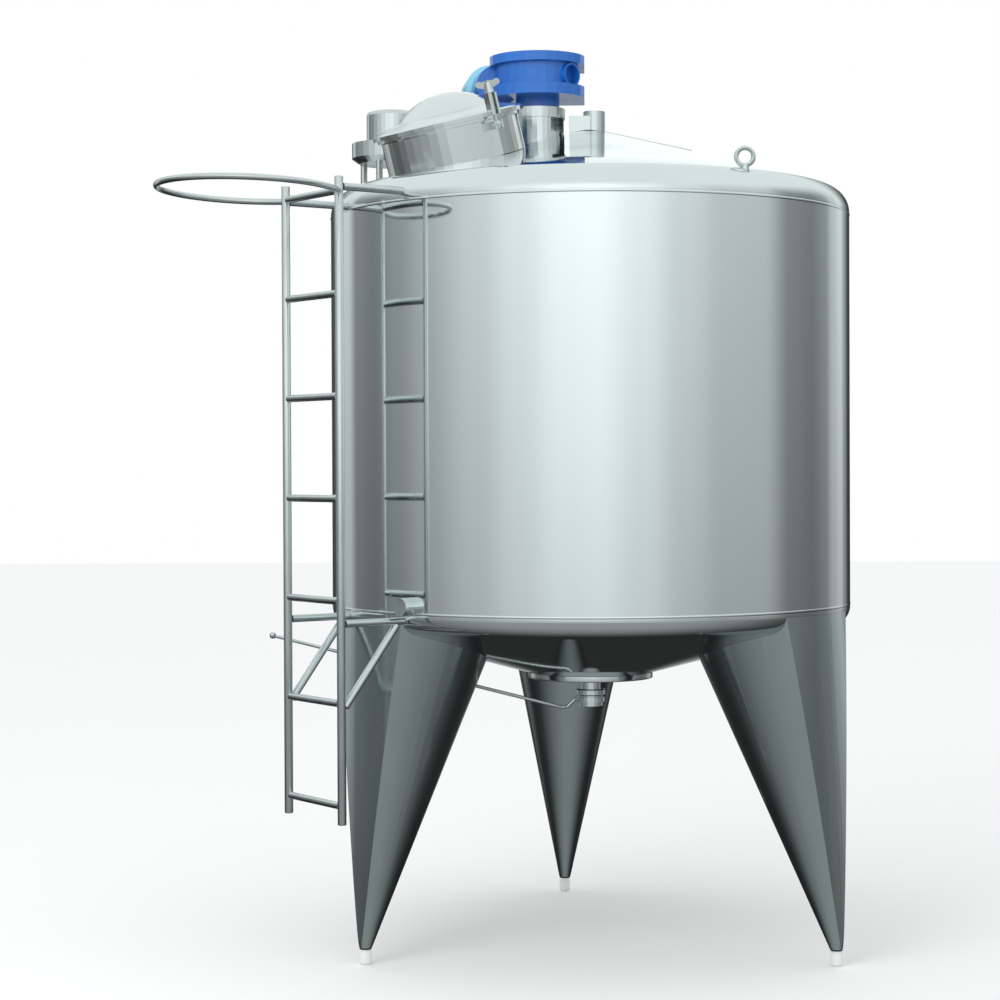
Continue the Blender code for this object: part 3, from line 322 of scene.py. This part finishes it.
def turned(name, outline, steps=64, closed=False):
    """Extrude one vertex along an outline of radius and height, and spin it round."""
    bpy.ops.object.select_all(action="DESELECT")
    bpy.ops.mesh.primitive_plane_add(size=0.01)
    piece = new_piece(name)
    bpy.ops.object.mode_set(mode="EDIT")
    bpy.ops.mesh.select_mode(type="VERT")
    bpy.ops.mesh.select_all(action="SELECT")
    bpy.ops.mesh.merge(type="CENTER")
    route = [(0.0, 0.0)] + list(outline)
    if closed:
        route.append(outline[0])
    bpy.ops.transform.translate(value=(route[1][0], 0.0, route[1][1]))
    for (r0, z0), (r1, z1) in zip(route[1:], route[2:]):
        step = (r1 - r0, 0.0, z1 - z0)
        bpy.ops.mesh.extrude_region_move(TRANSFORM_OT_translate={"value": step})
    bpy.ops.mesh.select_all(action="SELECT")
    bpy.ops.mesh.spin(steps=steps, angle=2 * math.pi, center=(0, 0, 0), axis=(0, 0, 1))
    end_edit()
    return piece


def pointing(start, direction, side=None):
    """A frame at a place whose Z runs along a direction."""
    z_axis = Vector(direction).normalized()
    if side is None:
        side = (0, 0, 1) if abs(z_axis.z) < 0.9 else (1, 0, 0)
    y_axis = z_axis.cross(Vector(side)).normalized()
    x_axis = y_axis.cross(z_axis)
    turn = Matrix((x_axis, y_axis, z_axis)).transposed().to_4x4()
    return Matrix.Translation(Vector(start)) @ turn


def bar(name, start, end, radius, sides=28, round_off=0.0015):
    """A round bar between two places, with softened ends."""
    span = Vector(end) - Vector(start)
    bpy.ops.object.select_all(action="DESELECT")
    bpy.ops.mesh.primitive_cylinder_add(vertices=sides, radius=radius, depth=span.length)
    piece = new_piece(name)
    start_edit(piece, "EDGE")
    half = span.length / 2
    pick_edges(piece, lambda a, b: abs(a.z - b.z) < 0.0001 and abs(abs(a.z) - half) < 0.0001)
    if round_off:
        bpy.ops.mesh.bevel(offset=round_off, segments=2, affect="EDGES")
    end_edit()
    middle = (Vector(start) + Vector(end)) / 2
    return settle(piece, pointing(middle, span))


def swept(name, points, radius, resolution=6, closed=False):
    """A round bar along a line of places, drawn as a curve and turned into a mesh."""
    bpy.ops.object.select_all(action="DESELECT")
    bpy.ops.curve.primitive_bezier_curve_add()
    piece = bpy.context.active_object
    curve = piece.data
    curve.splines.clear()
    spline = curve.splines.new("POLY")
    spline.points.add(len(points) - 1)
    for point, where in zip(spline.points, points):
        point.co = (*where, 1.0)
    spline.use_cyclic_u = closed
    curve.bevel_depth = radius
    curve.bevel_resolution = resolution
    curve.use_fill_caps = not closed
    bpy.ops.object.convert(target="MESH")
    piece = new_piece(name)
    start_edit(piece, "VERT")
    end_edit()
    return piece


def block(name, low, high, round_off=0.0, segments=2):
    """A box between two corners with its edges rounded off."""
    low = Vector(low)
    high = Vector(high)
    bpy.ops.object.select_all(action="DESELECT")
    bpy.ops.mesh.primitive_cube_add(size=1.0)
    piece = new_piece(name)
    start_edit(piece, "VERT")
    bpy.ops.mesh.select_all(action="SELECT")
    bpy.ops.transform.resize(value=tuple(high - low))
    bpy.ops.transform.translate(value=tuple((high + low) / 2))
    if round_off:
        bpy.ops.mesh.bevel(offset=round_off, segments=segments, affect="EDGES")
    end_edit()
    return piece


def show(piece, finish, body="tank", nodes=(), sharp=35.0):
    """Give a finished piece its shading and material, put it on its body and hide the nodes it replaces."""
    only(piece)
    bpy.ops.object.shade_smooth_by_angle(angle=math.radians(sharp))
    piece.data.materials.clear()
    piece.data.materials.append(finish)
    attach(piece, body)
    if nodes:
        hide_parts(*nodes)
    print(piece.name, len(piece.data.polygons), "faces")
    return piece


print("helpers ready")

# %% [markdown]
# ## Shared effects
# Two effects turn up in several steels. Sheet metal is never quite flat, so mirrors in it
# waver: that is a slow, tall noise read as a bump. Polishing leaves fine scratches and faint
# cloudy patches: that is a small change of roughness. Each is a group with named sockets, so
# that every material can set its own amounts.

# %% Groups for wavering sheet and for polishing marks
def new_group(name, numbers, outputs):
    """An empty shader group with numbers going in and values coming out."""
    group = bpy.data.node_groups.new(name, "ShaderNodeTree")
    for label, value in numbers.items():
        socket = group.interface.new_socket(label, in_out="INPUT", socket_type="NodeSocketFloat")
        socket.default_value = value
    for label, kind in outputs.items():
        group.interface.new_socket(label, in_out="OUTPUT", socket_type=kind)
    group.nodes.new("NodeGroupInput")
    group.nodes.new("NodeGroupOutput")
    return group


def ends(group):
    """The input and output nodes of a group."""
    return group.nodes["Group Input"], group.nodes["Group Output"]


def stretched_noise(group, size_xy, size_z, scale, detail=3.0):
    """Noise on object coordinates, drawn out along one direction."""
    coordinates = group.nodes.new("ShaderNodeTexCoord")
    mapping = group.nodes.new("ShaderNodeMapping")
    mapping.inputs["Scale"].default_value = (size_xy, size_xy, size_z)
    group.links.new(coordinates.outputs["Object"], mapping.inputs["Vector"])
    noise = group.nodes.new("ShaderNodeTexNoise")
    noise.inputs["Detail"].default_value = detail
    group.links.new(mapping.outputs[0], noise.inputs["Vector"])
    if isinstance(scale, (int, float)):
        noise.inputs["Scale"].default_value = scale
    else:
        group.links.new(scale, noise.inputs["Scale"])
    return noise.outputs["Fac"]


def make_sheet_waver():
    """Slow, tall unevenness of rolled sheet, with fine grinding lines over it."""
    group = new_group("sheet_waver", {"Waver": 0.2, "Grind": 0.02}, {"Normal": "NodeSocketVector"})
    inlet, outlet = ends(group)
    slow = stretched_noise(group, 1.0, 0.22, 3.2, 1.0)
    fine = stretched_noise(group, 1.0, 0.02, 420.0, 2.0)
    bump = group.nodes.new("ShaderNodeBump")
    bump.inputs["Distance"].default_value = 0.01
    group.links.new(inlet.outputs["Waver"], bump.inputs["Strength"])
    group.links.new(slow, bump.inputs["Height"])
    ground = group.nodes.new("ShaderNodeBump")
    ground.inputs["Distance"].default_value = 0.0004
    group.links.new(inlet.outputs["Grind"], ground.inputs["Strength"])
    group.links.new(fine, ground.inputs["Height"])
    group.links.new(bump.outputs[0], ground.inputs["Normal"])
    group.links.new(ground.outputs[0], outlet.inputs["Normal"])
    return group


def make_polish_marks():
    """Roughness that drifts in cloudy patches between two values."""
    numbers = {"Smooth": 0.06, "Dull": 0.16, "Patch size": 5.0}
    group = new_group("polish_marks", numbers, {"Roughness": "NodeSocketFloat", "Patch": "NodeSocketFloat"})
    inlet, outlet = ends(group)
    patch = stretched_noise(group, 1.0, 0.4, inlet.outputs["Patch size"], 5.0)
    spread = group.nodes.new("ShaderNodeMapRange")
    spread.inputs["From Min"].default_value = 0.3
    spread.inputs["From Max"].default_value = 0.7
    group.links.new(patch, spread.inputs["Value"])
    group.links.new(inlet.outputs["Smooth"], spread.inputs["To Min"])
    group.links.new(inlet.outputs["Dull"], spread.inputs["To Max"])
    group.links.new(spread.outputs[0], outlet.inputs["Roughness"])
    group.links.new(patch, outlet.inputs["Patch"])
    return group


SHEET_WAVER = make_sheet_waver()
POLISH_MARKS = make_polish_marks()
print("groups", [group.name for group in bpy.data.node_groups])

# %% [markdown]
# ## Steels, paints and rubber
# The shell is polished until it mirrors. Bars, cheeks and fittings are satin. The casting is
# gloss blue, the motor a lighter blue, and the feet a pale moulded plastic. Every finish gets
# its own small variation, because one flat colour never looks like a real surface.

# %% Build the materials
def new_material(name, colour, metallic=0.0, roughness=0.4, coat=0.0):
    """A Principled material to which the effects are added."""
    material = bpy.data.materials.new(name)
    material.use_nodes = True
    shader = material.node_tree.nodes["Principled BSDF"]
    shader.inputs["Base Color"].default_value = (*colour, 1.0)
    shader.inputs["Metallic"].default_value = metallic
    shader.inputs["Roughness"].default_value = roughness
    shader.inputs["Coat Weight"].default_value = coat
    return material, material.node_tree, shader


def add_group(tree, group, **values):
    """A group node with its own values."""
    node = tree.nodes.new("ShaderNodeGroup")
    node.node_tree = group
    for label, value in values.items():
        node.inputs[label.replace("_", " ")].default_value = value
    return node


def tinted(tree, shader, factor, dark, light):
    """Base colour that drifts between two tones with a factor."""
    colour = blend_colour(tree, factor, (*dark, 1.0), (*light, 1.0))
    tree.links.new(colour, shader.inputs["Base Color"])


def steel(name, dark, light, smooth, dull, waver, grind, patch=5.0):
    """A bare steel with wavering sheet, polishing marks and a slight drift of tone."""
    material, tree, shader = new_material(name, light, metallic=1.0)
    marks = add_group(tree, POLISH_MARKS, Smooth=smooth, Dull=dull, Patch_size=patch)
    sheet = add_group(tree, SHEET_WAVER, Waver=waver, Grind=grind)
    tree.links.new(marks.outputs["Roughness"], shader.inputs["Roughness"])
    tree.links.new(sheet.outputs["Normal"], shader.inputs["Normal"])
    tinted(tree, shader, marks.outputs["Patch"], dark, light)
    return material


def painted(name, dark, light, smooth, dull, coat, grain=0.1):
    """A paint with a faint orange-peel skin and a drift of tone."""
    material, tree, shader = new_material(name, light, coat=coat)
    marks = add_group(tree, POLISH_MARKS, Smooth=smooth, Dull=dull, Patch_size=14.0)
    peel = add_group(tree, SHEET_WAVER, Waver=0.02, Grind=grain)
    tree.links.new(marks.outputs["Roughness"], shader.inputs["Roughness"])
    tree.links.new(peel.outputs["Normal"], shader.inputs["Normal"])
    tinted(tree, shader, marks.outputs["Patch"], dark, light)
    return material


mirror_steel = steel("mirror_steel", (0.74, 0.79, 0.79), (0.80, 0.84, 0.84), 0.03, 0.09, 0.10, 0.01)
bright_steel = steel("bright_steel", (0.72, 0.76, 0.76), (0.82, 0.85, 0.85), 0.08, 0.18, 0.05, 0.03, 9.0)
satin_steel = steel("satin_steel", (0.58, 0.63, 0.63), (0.74, 0.78, 0.78), 0.16, 0.30, 0.02, 0.10, 16.0)
leg_steel = steel("leg_steel", (0.50, 0.57, 0.57), (0.62, 0.68, 0.68), 0.13, 0.20, 0.06, 0.05, 6.0)
dark_steel = steel("dark_steel", (0.10, 0.11, 0.11), (0.20, 0.22, 0.22), 0.20, 0.34, 0.02, 0.05, 12.0)
housing_blue = painted("housing_blue", (0.005, 0.09, 0.42), (0.010, 0.17, 0.62), 0.22, 0.34, 0.5)
motor_blue = painted("motor_blue", (0.18, 0.50, 0.68), (0.28, 0.62, 0.78), 0.28, 0.42, 0.3)
pad_white = painted("pad_white", (0.70, 0.74, 0.73), (0.84, 0.87, 0.86), 0.38, 0.55, 0.0)
seal_black = painted("seal_black", (0.008, 0.008, 0.009), (0.030, 0.030, 0.032), 0.40, 0.60, 0.0)
print("materials", len(bpy.data.materials))

# %% [markdown]
# ## The floor
# A tank stands on level ground. The floor here is plain and pale, and only a stage for the
# picture. It stays out of the mirrors, because the room's tones already hold the ground.

# %% Lay the floor
bpy.ops.object.select_all(action="DESELECT")
bpy.ops.mesh.primitive_plane_add(size=60.0, location=tuple(AXIS))
floor = new_piece("studio_floor")
floor_paint, floor_tree, floor_shader = new_material("pale_floor", (0.93, 0.94, 0.94), roughness=0.9)
floor.data.materials.append(floor_paint)
floor.visible_glossy = False
print("floor laid")

# %% [markdown]
# ## The shell, roof and bottom
# The wall is sheet rolled round and welded at an upper and a lower seam. The roof has a rolled
# shoulder that runs into a shallow cone, and the bottom the same with a tighter knuckle. Spun
# outlines are the natural way to make them. Each has many more steps than the solids have,
# because a mirror shows every facet, and the shell carries a thin raised bead near each weld.

# %% Spin the shell, roof and bottom
BEAD = 0.0011
BEAD_HALF = 0.004
KNUCKLE_SWEEP = math.pi / 2 - SLOPE_ANGLE
SPIN_STEPS = 192


def roof_arc(offset=0.0, facets=20):
    """The shoulder's arc, from the cone down to the seam."""
    centre = (SHELL_RADIUS - ROOF_KNUCKLE, SEAM_TOP_Z)
    return arc(centre, ROOF_KNUCKLE + offset, KNUCKLE_SWEEP, 0.0, facets)


def bottom_arc(offset=0.0, facets=20):
    """The knuckle's arc, from the seam in to the bottom cone."""
    centre = (SHELL_RADIUS - BOTTOM_KNUCKLE, SEAM_LOW_Z)
    return arc(centre, BOTTOM_KNUCKLE + offset, 0.0, -KNUCKLE_SWEEP, facets)


def roof_height(radius, offset=0.0):
    """Height of the roof cone's face at a distance from the axis."""
    foot_radius, foot_z = roof_arc()[0]
    return foot_z + CONE_SLOPE * (foot_radius - radius) + offset * math.hypot(1.0, CONE_SLOPE)


def bottom_height(radius, offset=0.0):
    """Height of the bottom cone's face at a distance from the axis."""
    foot_radius, foot_z = bottom_arc()[-1]
    return foot_z - CONE_SLOPE * (foot_radius - radius) - offset * math.hypot(1.0, CONE_SLOPE)


def make_tank_form():
    """The whole tank as one closed form, to trim what stands against it."""
    outline = [(0.0, roof_height(0.0, HAIR_GAP))] + roof_arc(HAIR_GAP)
    outline += bottom_arc(HAIR_GAP) + [(0.0, bottom_height(0.0, HAIR_GAP))]
    form = settle(turned("tank_form", outline, SPIN_STEPS), Matrix.Translation(AXIS))
    form.hide_render = True
    return form


def bead(z):
    """A low rounded weld bead on the shell's face at a height, as outline points."""
    points = []
    for i in range(5):
        angle = math.pi * i / 4
        points.append((SHELL_RADIUS + BEAD * math.sin(angle), z + BEAD_HALF * math.cos(angle)))
    return points


tank_form = make_tank_form()
inner = SHELL_RADIUS - SHELL_WALL
shell_outline = [(SHELL_RADIUS, SEAM_TOP_Z - HAIR_GAP)]
shell_outline += bead(SEAM_TOP_Z - 2 * BEAD_HALF) + bead(SEAM_LOW_Z + 2 * BEAD_HALF)
shell_outline += [(SHELL_RADIUS, SEAM_LOW_Z + HAIR_GAP)]
shell_outline += [(inner, SEAM_LOW_Z + HAIR_GAP), (inner, SEAM_TOP_Z - HAIR_GAP)]
shell = settle(turned("vessel_shell", shell_outline, SPIN_STEPS, closed=True), Matrix.Translation(AXIS))
plates = [f"shell_plate_{i}" for i in range(1, 7)]
show(shell, mirror_steel, nodes=plates, sharp=30)

roof_outline = [(0.0, roof_height(0.0))] + roof_arc() + list(reversed(roof_arc(-SHELL_WALL)))
roof_outline += [(0.0, roof_height(0.0, -SHELL_WALL))]
roof = settle(turned("vessel_roof", roof_outline, SPIN_STEPS), Matrix.Translation(AXIS))

SUMP_RADIUS = (disc_high.x - disc_low.x) / 2
bottom_outline = bottom_arc() + [(SUMP_RADIUS, bottom_height(SUMP_RADIUS))]
bottom_outline += [(SUMP_RADIUS, bottom_height(SUMP_RADIUS, -SHELL_WALL))]
bottom_outline += list(reversed(bottom_arc(-SHELL_WALL)))
bottom = settle(turned("vessel_bottom", bottom_outline, SPIN_STEPS, closed=True), Matrix.Translation(AXIS))
show(bottom, mirror_steel, nodes=["bottom_dish"], sharp=30)

disc_round = 0.004
disc_outline = [(0.0, disc_high.z), (SUMP_RADIUS, disc_high.z)]
disc_outline += arc((SUMP_RADIUS - disc_round, disc_low.z + disc_round), disc_round, 0.0, -math.pi / 2, 5)
disc_outline += [(0.0, disc_low.z)]
disc = settle(turned("sump_disc", disc_outline, 128), Matrix.Translation(AXIS))
show(disc, bright_steel, nodes=["bottom_disc"])

# %% [markdown]
# ## The manway's frame and its hole in the roof
# The manway stands square to the roof's slope, not upright. Its own frame, with Z out of the
# roof and X towards the swing bolt, lays the round hole square to that slope. The roof is cut
# open under it before the roof gets its finish.

# %% Cut the manway's hole
MANWAY_ANGLE = math.radians(-145.3)
BOLT_ANGLE = math.radians(-53.3)
RIM_REACH = 0.527
RIM_Z = 2.575
NECK_RADIUS = 0.2165
NECK_WALL = 0.006


def flat_direction(angle):
    """A level direction at a plan angle."""
    return Vector((math.cos(angle), math.sin(angle), 0.0))


def manway_place():
    """The manway's frame on the roof, and how high its rim stands above it."""
    outward = flat_direction(MANWAY_ANGLE)
    normal = outward * math.sin(SLOPE_ANGLE) + Vector((0, 0, math.cos(SLOPE_ANGLE)))
    height = (RIM_Z - roof_height(RIM_REACH)) * math.cos(SLOPE_ANGLE)
    foot = AXIS + outward * RIM_REACH + Vector((0, 0, RIM_Z)) - normal * height
    return pointing(foot, normal, flat_direction(BOLT_ANGLE)), height


MANWAY, RIM = manway_place()
bpy.ops.object.select_all(action="DESELECT")
bpy.ops.mesh.primitive_cylinder_add(vertices=96, radius=NECK_RADIUS - NECK_WALL, depth=0.24)
hole = settle(new_piece("manway_hole"), MANWAY)
cut(roof, hole)
show(roof, mirror_steel, nodes=["roof_shoulder", "roof_cone"], sharp=30)

# %% [markdown]
# ## Cone legs and feet
# Each leg is a cone of rolled sheet. It widens from a small tip to a broad oval against the
# bottom, and its outer side carries on the curve of the shell, which leaves a soft crease down
# each edge. A plain cone is stretched at the top, then trimmed by a steep cone round the
# tank's axis and by the tank itself.

# %% Model the legs
LEG_FEET = {"left": (0.824, -146.8), "right": (0.867, -31.3), "back": (0.814, 96.7)}
LEG_TIP_Z = 0.053
LEG_TIP_RADIUS = 0.020
LEG_TOP_Z = 1.068
LEG_TOP_OUT = 0.668
LEG_TOP_DEPTH = 0.322
LEG_TOP_WIDTH = 0.226


def make_leg(label, reach, degrees):
    """One leg, from its round tip to its oval top."""
    middle = (LEG_TIP_Z + LEG_TOP_Z) / 2
    bpy.ops.object.select_all(action="DESELECT")
    bpy.ops.mesh.primitive_cone_add(
        vertices=96,
        radius1=LEG_TIP_RADIUS,
        radius2=1.0,
        depth=LEG_TOP_Z - LEG_TIP_Z,
    )
    leg = new_piece(f"cone_leg_{label}")
    start_edit(leg, "VERT")
    pick_faces(leg, lambda middle, normal: normal.z > 0.9)
    bpy.ops.transform.resize(value=(LEG_TOP_DEPTH, LEG_TOP_WIDTH, 1.0))
    bpy.ops.transform.translate(value=(LEG_TOP_OUT - reach, 0.0, 0.0))
    bpy.ops.mesh.select_all(action="SELECT")
    bpy.ops.transform.translate(value=(reach, 0.0, middle))
    end_edit()
    settle(leg, Matrix.Translation(AXIS) @ Matrix.Rotation(math.radians(degrees), 4, "Z"))
    bpy.ops.object.select_all(action="DESELECT")
    bpy.ops.mesh.primitive_cone_add(
        vertices=SPIN_STEPS,
        radius1=reach + LEG_TIP_RADIUS,
        radius2=SHELL_RADIUS - HAIR_GAP,
        depth=LEG_TOP_Z - LEG_TIP_Z,
    )
    side = settle(new_piece("leg_side"), Matrix.Translation(AXIS + Vector((0, 0, middle))))
    cut(leg, side, "INTERSECT")
    cut(leg, tank_form, keep=True)
    return show(leg, leg_steel, nodes=[f"leg_{label}"], sharp=20)


def make_foot(label, reach, degrees):
    """A pale levelling foot with a dark ring where its stem enters the leg."""
    outline = [(0.0, 0.0528), (0.016, 0.0528), (0.016, 0.0415)]
    outline += arc((0.0165, 0.0385), 0.0025, math.pi / 2, 0.0, 4)
    outline += [(0.019, 0.0095)] + arc((0.0165, 0.0085), 0.0025, 0.0, -math.pi / 4, 3)
    outline += [(0.013, 0.0006), (0.0124, 0.0), (0.0, 0.0)]
    spot = AXIS + flat_direction(math.radians(degrees)) * reach
    foot = settle(turned(f"foot_pad_{label}", outline, 40), Matrix.Translation(spot))
    show(foot, pad_white, nodes=[f"foot_{label}"], sharp=40)
    ring_outline = [(0.0162, 0.0524), (0.0182, 0.0522), (0.0186, 0.0500), (0.0182, 0.0478), (0.0162, 0.0476)]
    ring = turned(f"foot_ring_{label}", ring_outline, 40, closed=True)
    settle(ring, Matrix.Translation(spot))
    show(ring, seal_black)


for leg_label, (leg_reach, leg_degrees) in LEG_FEET.items():
    make_leg(leg_label, leg_reach, leg_degrees)
    make_foot(leg_label, leg_reach, leg_degrees)

# %% [markdown]
# ## The ladder
# Two tube rails carry seven rungs, with stays back to the shell and a hoop round the climber
# at the top. Welded tube is best made as plain bars with softened ends. The rungs are seven
# copies of one bar.

# %% Weld up the ladder
LADDER_ANGLE = math.radians(-142.7)
LADDER_REACH = 1.030
LADDER_HALF = 0.155
LADDER_SHIFT = -0.005
RAIL_RADIUS = 0.013
RUNG_RADIUS = 0.011
STAY_RADIUS = 0.0115
HOOP_RADIUS = 0.265
HOOP_TUBE = 0.0095
HOOP_SLOPE = 0.037
HOOP_Z = 2.322


def on_ladder(out, along, z):
    """A place given by its distance out from the tank's axis and along the rungs."""
    outward = flat_direction(LADDER_ANGLE)
    along_rungs = Vector((-outward.y, outward.x, 0.0))
    return AXIS + outward * out + along_rungs * (along + LADDER_SHIFT) + Vector((0, 0, z))


def make_rail(label, side):
    """One rail, with a plugged and softened end at top and bottom."""
    low, high = (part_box(f"ladder_rail_{label}")[i].z for i in (0, 1))
    foot = on_ladder(LADDER_REACH, side * LADDER_HALF, low)
    head = on_ladder(LADDER_REACH, side * LADDER_HALF, high)
    rail = bar(f"rail_{label}", foot, head, RAIL_RADIUS, 36, 0.003)
    return show(rail, satin_steel, nodes=[f"ladder_rail_{label}"])


def make_stays(label, side, upper_z):
    """The upper stay, and the lower stay with its brace, trimmed to the tank and rail."""
    gap = RAIL_RADIUS + HAIR_GAP
    wall = math.sqrt((SHELL_RADIUS - 0.02) ** 2 - (side * LADDER_HALF + LADDER_SHIFT) ** 2)
    for level, z in (("upper", upper_z), ("lower", 1.060)):
        start = on_ladder(LADDER_REACH - gap, side * LADDER_HALF, z)
        end = on_ladder(wall, side * LADDER_HALF, z)
        stay = bar(f"stay_{level}_{label}", start, end, STAY_RADIUS, 28, 0.0)
        if level == "lower":
            foot = on_ladder(LADDER_REACH - gap, side * LADDER_HALF, 0.816)
            head = on_ladder(0.838, side * LADDER_HALF, 1.048)
            cut(stay, bar("brace", foot, head, STAY_RADIUS, 28, 0.0), "UNION")
            low = on_ladder(LADDER_REACH, side * LADDER_HALF, 0.5)
            high = on_ladder(LADDER_REACH, side * LADDER_HALF, 1.2)
            cut(stay, bar("rail_form", low, high, gap, 36, 0.0))
            cut(stay, leg_guard, keep=True)
        cut(stay, tank_form, keep=True)
        show(stay, satin_steel, nodes=[f"ladder_stay_{level}_{label}"])


def make_hoop():
    """The hoop: an arc outside the rails that rises a little outwards."""
    reach = math.sqrt(HOOP_RADIUS**2 - LADDER_HALF**2)
    half = math.asin(LADDER_HALF / HOOP_RADIUS)
    points = []
    for i in range(121):
        angle = math.pi + half + (2 * math.pi - 2 * half) * i / 120
        out = reach + HOOP_RADIUS * math.cos(angle)
        points.append(on_ladder(LADDER_REACH + out, HOOP_RADIUS * math.sin(angle), HOOP_Z + out * HOOP_SLOPE))
    hoop = swept("safety_hoop", points, HOOP_TUBE, 6)
    for side in (-1, 1):
        low = on_ladder(LADDER_REACH, side * LADDER_HALF, 2.2)
        high = on_ladder(LADDER_REACH, side * LADDER_HALF, 2.4)
        cut(hoop, bar("rail_form", low, high, RAIL_RADIUS + HAIR_GAP, 36, 0.0))
    return show(hoop, satin_steel, nodes=["ladder_hoop"])


guard_reach = LEG_FEET["left"][0] + LEG_TIP_RADIUS
bpy.ops.object.select_all(action="DESELECT")
bpy.ops.mesh.primitive_cone_add(
    vertices=SPIN_STEPS,
    radius1=guard_reach + 2 * HAIR_GAP,
    radius2=SHELL_RADIUS + HAIR_GAP,
    depth=LEG_TOP_Z + 0.005 - LEG_TIP_Z,
)
leg_guard = settle(new_piece("leg_guard"), Matrix.Translation(AXIS + Vector((0, 0, (LEG_TOP_Z + LEG_TIP_Z) / 2))))
make_rail("left", -1)
make_rail("right", 1)
make_stays("left", -1, 2.321)
make_stays("right", 1, 2.338)
make_hoop()
rung_half = LADDER_HALF - RAIL_RADIUS - HAIR_GAP
for rung_number in range(1, 8):
    rung_low, rung_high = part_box(f"ladder_rung_{rung_number}")
    rung_z = (rung_low.z + rung_high.z) / 2
    rung_start = on_ladder(LADDER_REACH, -rung_half, rung_z)
    rung_end = on_ladder(LADDER_REACH, rung_half, rung_z)
    rung = bar(f"rung_{rung_number}", rung_start, rung_end, RUNG_RADIUS, 28, 0.0)
    show(rung, satin_steel, nodes=[f"ladder_rung_{rung_number}"])
bpy.data.objects.remove(leg_guard)

# %% [markdown]
# ## Whatever is still a plain solid
# The nodes that no piece has replaced keep their solid shape and get the finish of their slot.

# %% Dress the remaining nodes
SLOT_FINISH = {
    "polished_steel": bright_steel,
    "satin_steel": satin_steel,
    "blue_casting": housing_blue,
    "light_blue_paint": motor_blue,
    "white_pad": pad_white,
    "dark_seal": seal_black,
}
slot_of = {part["node"]: part["material_slot"] for part in frame["record"]["subparts"]}
for node_name, node in frame["nodes"].items():
    node.data.materials.clear()
    node.data.materials.append(SLOT_FINISH[slot_of[node_name]])
bpy.data.objects.remove(tank_form)
print("nodes dressed", len(frame["nodes"]))
